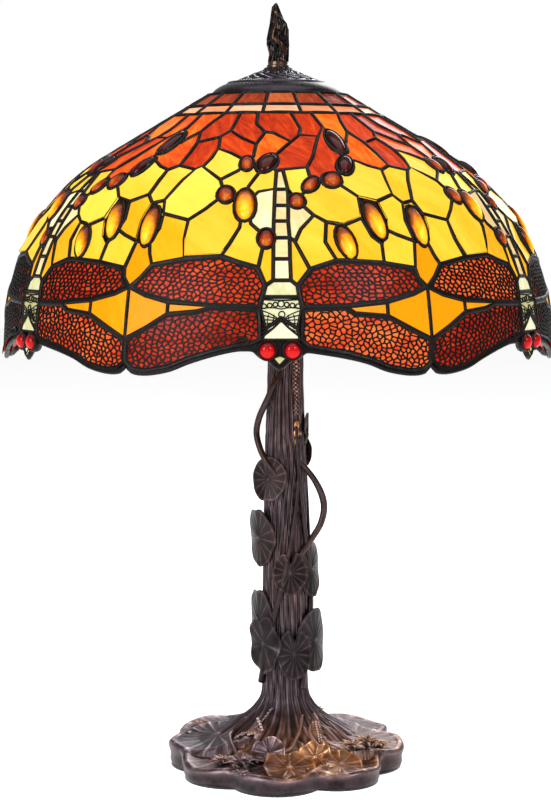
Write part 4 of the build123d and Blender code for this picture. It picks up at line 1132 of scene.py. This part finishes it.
# ---------------------------------------------------------------- heat cap and finial
# radius and height of the cap's section, over the top and back inside
CAP = [(5.3, 520.5), (8.6, 520.5), (10.2, 520.0), (11.2, 518.6), (15, 517.5), (21, 514.9), (26.8, 512.6),
       (33.0, 510.1), (35.2, 509.6), (36.0, 509.9), (37.2, 509.5), (38.0, 508.4), (41.5, 506.9),
       (44.6, 505.2), (47.2, 503.2), (48.6, 501.2), (48.9, 500.1), (48.6, 499.4), (47.2, 499.4),
       (46.8, 500.4), (44.9, 502.6), (36.9, 506.5), (26.2, 510.9), (15.4, 515.3), (10, 518.2), (5.3, 518.7)]
section = smooth_path([(r, 0, z) for r, z in CAP], 0.55)
a = np.linspace(0, 2 * math.pi, 288, endpoint=False)
rr, aa = np.meshgrid(section[:, 0], a, indexing="ij")
zz = np.broadcast_to(section[:, 2][:, None], rr.shape)
upper = np.arange(len(section))[:, None] < np.argmax(section[:, 0])
zone = np.clip((rr - 12.0) / 2.0, 0, 1) * np.clip((33.0 - rr) / 1.6, 0, 1) * upper
curl = np.sin(9 * aa + 2.6 * np.sin((rr - 12) * 0.30)) * np.cos(9 * aa - 2.2 * np.cos((rr - 12) * 0.33))
scroll = np.clip(np.abs(curl) * 2.6 - 0.55, 0, 1)
band = np.clip((rr - 8.2) / 1.0, 0, 1) * np.clip((13 - rr) / 1.5, 0, 1) * upper
arches = np.clip(np.abs(np.sin(8 * aa)) * 2.4 - 0.9, 0, 1) * band
# the piercings are shallow recesses painted dark, painted shade in place of open holes
cut = zone * (1 - scroll)
relief = np.where(upper, 0.55 + 0.3 * zone * scroll - 0.75 * cut - 0.3 * arches, 0.3)
# painted highlight: a lighter line along the step ring
relief = relief + 0.3 * np.exp(-((rr - 36.4) / 0.8) ** 2) * upper
cap = Soup()
cap.add(turned(rr, aa, zz - 1.5 * cut - 0.7 * arches), grid_faces(len(section), len(a), flip=True),
        relief=relief)
cap.build("heat_cap_relief", "shade", CAP_BRONZE, slot="cap_bronze", stands_for=["heat_cap"])

# the finial's outline: height, and how far it reaches to the left and the right of the axis
FINIAL_Z = (524.6, 567.3)
LEFT = [(524.5, -7.9), (530, -6.9), (536, -8.3), (541, -8.8), (547, -7.6), (552, -6.5), (560, -5.4),
        (564.5, -4.6), (567.3, -2.2)]
RIGHT = [(524.5, 8.1), (531, 8.5), (540, 8.8), (548, 8.5), (552.5, 7.2), (556, 4.6), (560, 2.7), (564.5, 0.9),
         (567.3, -0.6)]
n, m = 96, 110
z = np.linspace(*FINIAL_Z, m)
left, right = np.interp(z, *zip(*LEFT)), np.interp(z, *zip(*RIGHT))
zz, aa = np.meshgrid(z, np.linspace(0, 2 * math.pi, n, endpoint=False), indexing="ij")
half = ((right - left) / 2)[:, None]
middle = ((right + left) / 2)[:, None]
turns = np.abs(np.sin(2 * aa + (zz - 524) * 0.11 + 0.6 * np.sin(zz * 0.35)))
knots = 0.5 * wobble(np.stack([half * np.cos(aa), half * np.sin(aa), zz], -1), 4.2)
bite = 1 - 0.22 * (1 - turns) - 0.05 * (1 - np.abs(np.sin(5 * aa - zz * 0.2))) + 0.07 * knots
side_x = np.sin(aa) * half * np.where(np.abs(np.sin(aa)) > 0.9, np.maximum(bite, 0.97), bite)
side_y = -np.cos(aa) * half * 0.92 * bite
body = np.stack([middle + side_x, side_y, zz], -1)
foot_point = np.broadcast_to([0, 0, FINIAL_Z[0]], (1, n, 3))
tip = np.broadcast_to([middle[-1, 0], 0, FINIAL_Z[1] + 0.1], (1, n, 3))
worn = 0.15 + 0.55 * turns ** 3 + 0.5 * np.clip(knots, 0, 1)
finial = Soup()
finial.add(np.concatenate([foot_point, body, tip]), grid_faces(m + 2, n),
           relief=np.concatenate([np.zeros((1, n)), worn, np.full((1, n), 0.6)]))
finial.build("finial_sculpture", "finial", FINIAL_BRONZE, slot="finial_bronze", stands_for=["finial_casting"])

# ---------------------------------------------------------------- CAD nodes that stay
KEPT = [(SOLDER, "shade_top_ring"), (COLLAR, "finial_collar"), (FELT_PAD, "base_felt"),
        (RUBBER, "cord_grommet"), (STEEL, "center_rod riser_tube rod_washer rod_nut seat_nut"),
        (BRASS, "trunk_collar cluster_body rod_coupling seat_disc"),
        (BRASS, "socket_shell_left socket_shell_right socket_contact_left socket_contact_right"),
        (PORCELAIN, "socket_insulator_left socket_insulator_right"), (SLEEVE, "supply_wire socket_wires"),
        (NICKEL, "bulb_cap_left bulb_cap_right"), (BULB, "bulb_glass_left bulb_glass_right")]
for look, names in KEPT:
    for name in names.split():
        mesh = nodes[name].data
        mesh.materials.clear()
        mesh.materials.append(look)

# ---------------------------------------------------------------- floor, light, camera
GROUND = cad_box[0][2]
FLOOR_HALF = 6.0
sheet = bpy.data.meshes.new("floor")
corners = [(x * FLOOR_HALF, y * FLOOR_HALF, GROUND) for x, y in ((-1, -1), (1, -1), (1, 1), (-1, 1))]
sheet.from_pydata(corners, [], [(0, 1, 2, 3)])
floor = linked("floor", sheet)
sheet.materials.append(plain("pale_floor", "#F6F6F6", "#FBFBFB", 0.6, 3.0, 0.0, Emission_Strength=0.62,
                             Emission_Color=(1.0, 1.0, 1.0, 1.0)))

world = bpy.data.worlds.new("studio")
world.use_nodes = True
background = world.node_tree.nodes["Background"]
background.inputs["Color"].default_value = (1.0, 1.0, 1.0, 1.0)
direct = world.node_tree.nodes.new("ShaderNodeLightPath").outputs["Is Camera Ray"]
level = world.node_tree.nodes.new("ShaderNodeMapRange")
level.inputs["To Min"].default_value, level.inputs["To Max"].default_value = 0.32, 1.0
world.node_tree.links.new(direct, level.inputs["Value"])
world.node_tree.links.new(level.outputs["Result"], background.inputs["Strength"])
bpy.context.scene.world = world
bpy.context.scene.view_settings.view_transform = "Standard"


def softbox(name, place, aim, width, tall, power):
    """Rectangular area light that points from its place to aim."""
    data = bpy.data.lights.new(name, "AREA")
    data.shape, data.size, data.size_y, data.energy = "RECTANGLE", width, tall, power
    obj = linked(name, data)
    obj.location = place
    obj.rotation_euler = (Vector(aim) - Vector(place)).to_track_quat("-Z", "Y").to_euler()


softbox("key", (-1.2, -1.4, 0.9), (0, 0, 0.3), 0.9, 1.1, 30)
softbox("side", (1.0, -1.35, 1.2), (0, 0, 0.35), 0.5, 0.7, 15)
softbox("top", (0.0, -0.3, 1.9), (0, 0, 0.4), 1.8, 1.8, 22)
softbox("rear", (0.5, 1.6, 1.1), (0, 0, 0.3), 1.4, 1.0, 16)

camera = bpy.data.cameras.new("camera")
camera.lens, camera.sensor_width = 90.63, 36.0
view = linked("camera", camera)
view.location = (-0.00186, -1.5, 0.410)
view.rotation_euler = (math.radians(90 - 5.16), 0, 0)
bpy.context.scene.camera = view
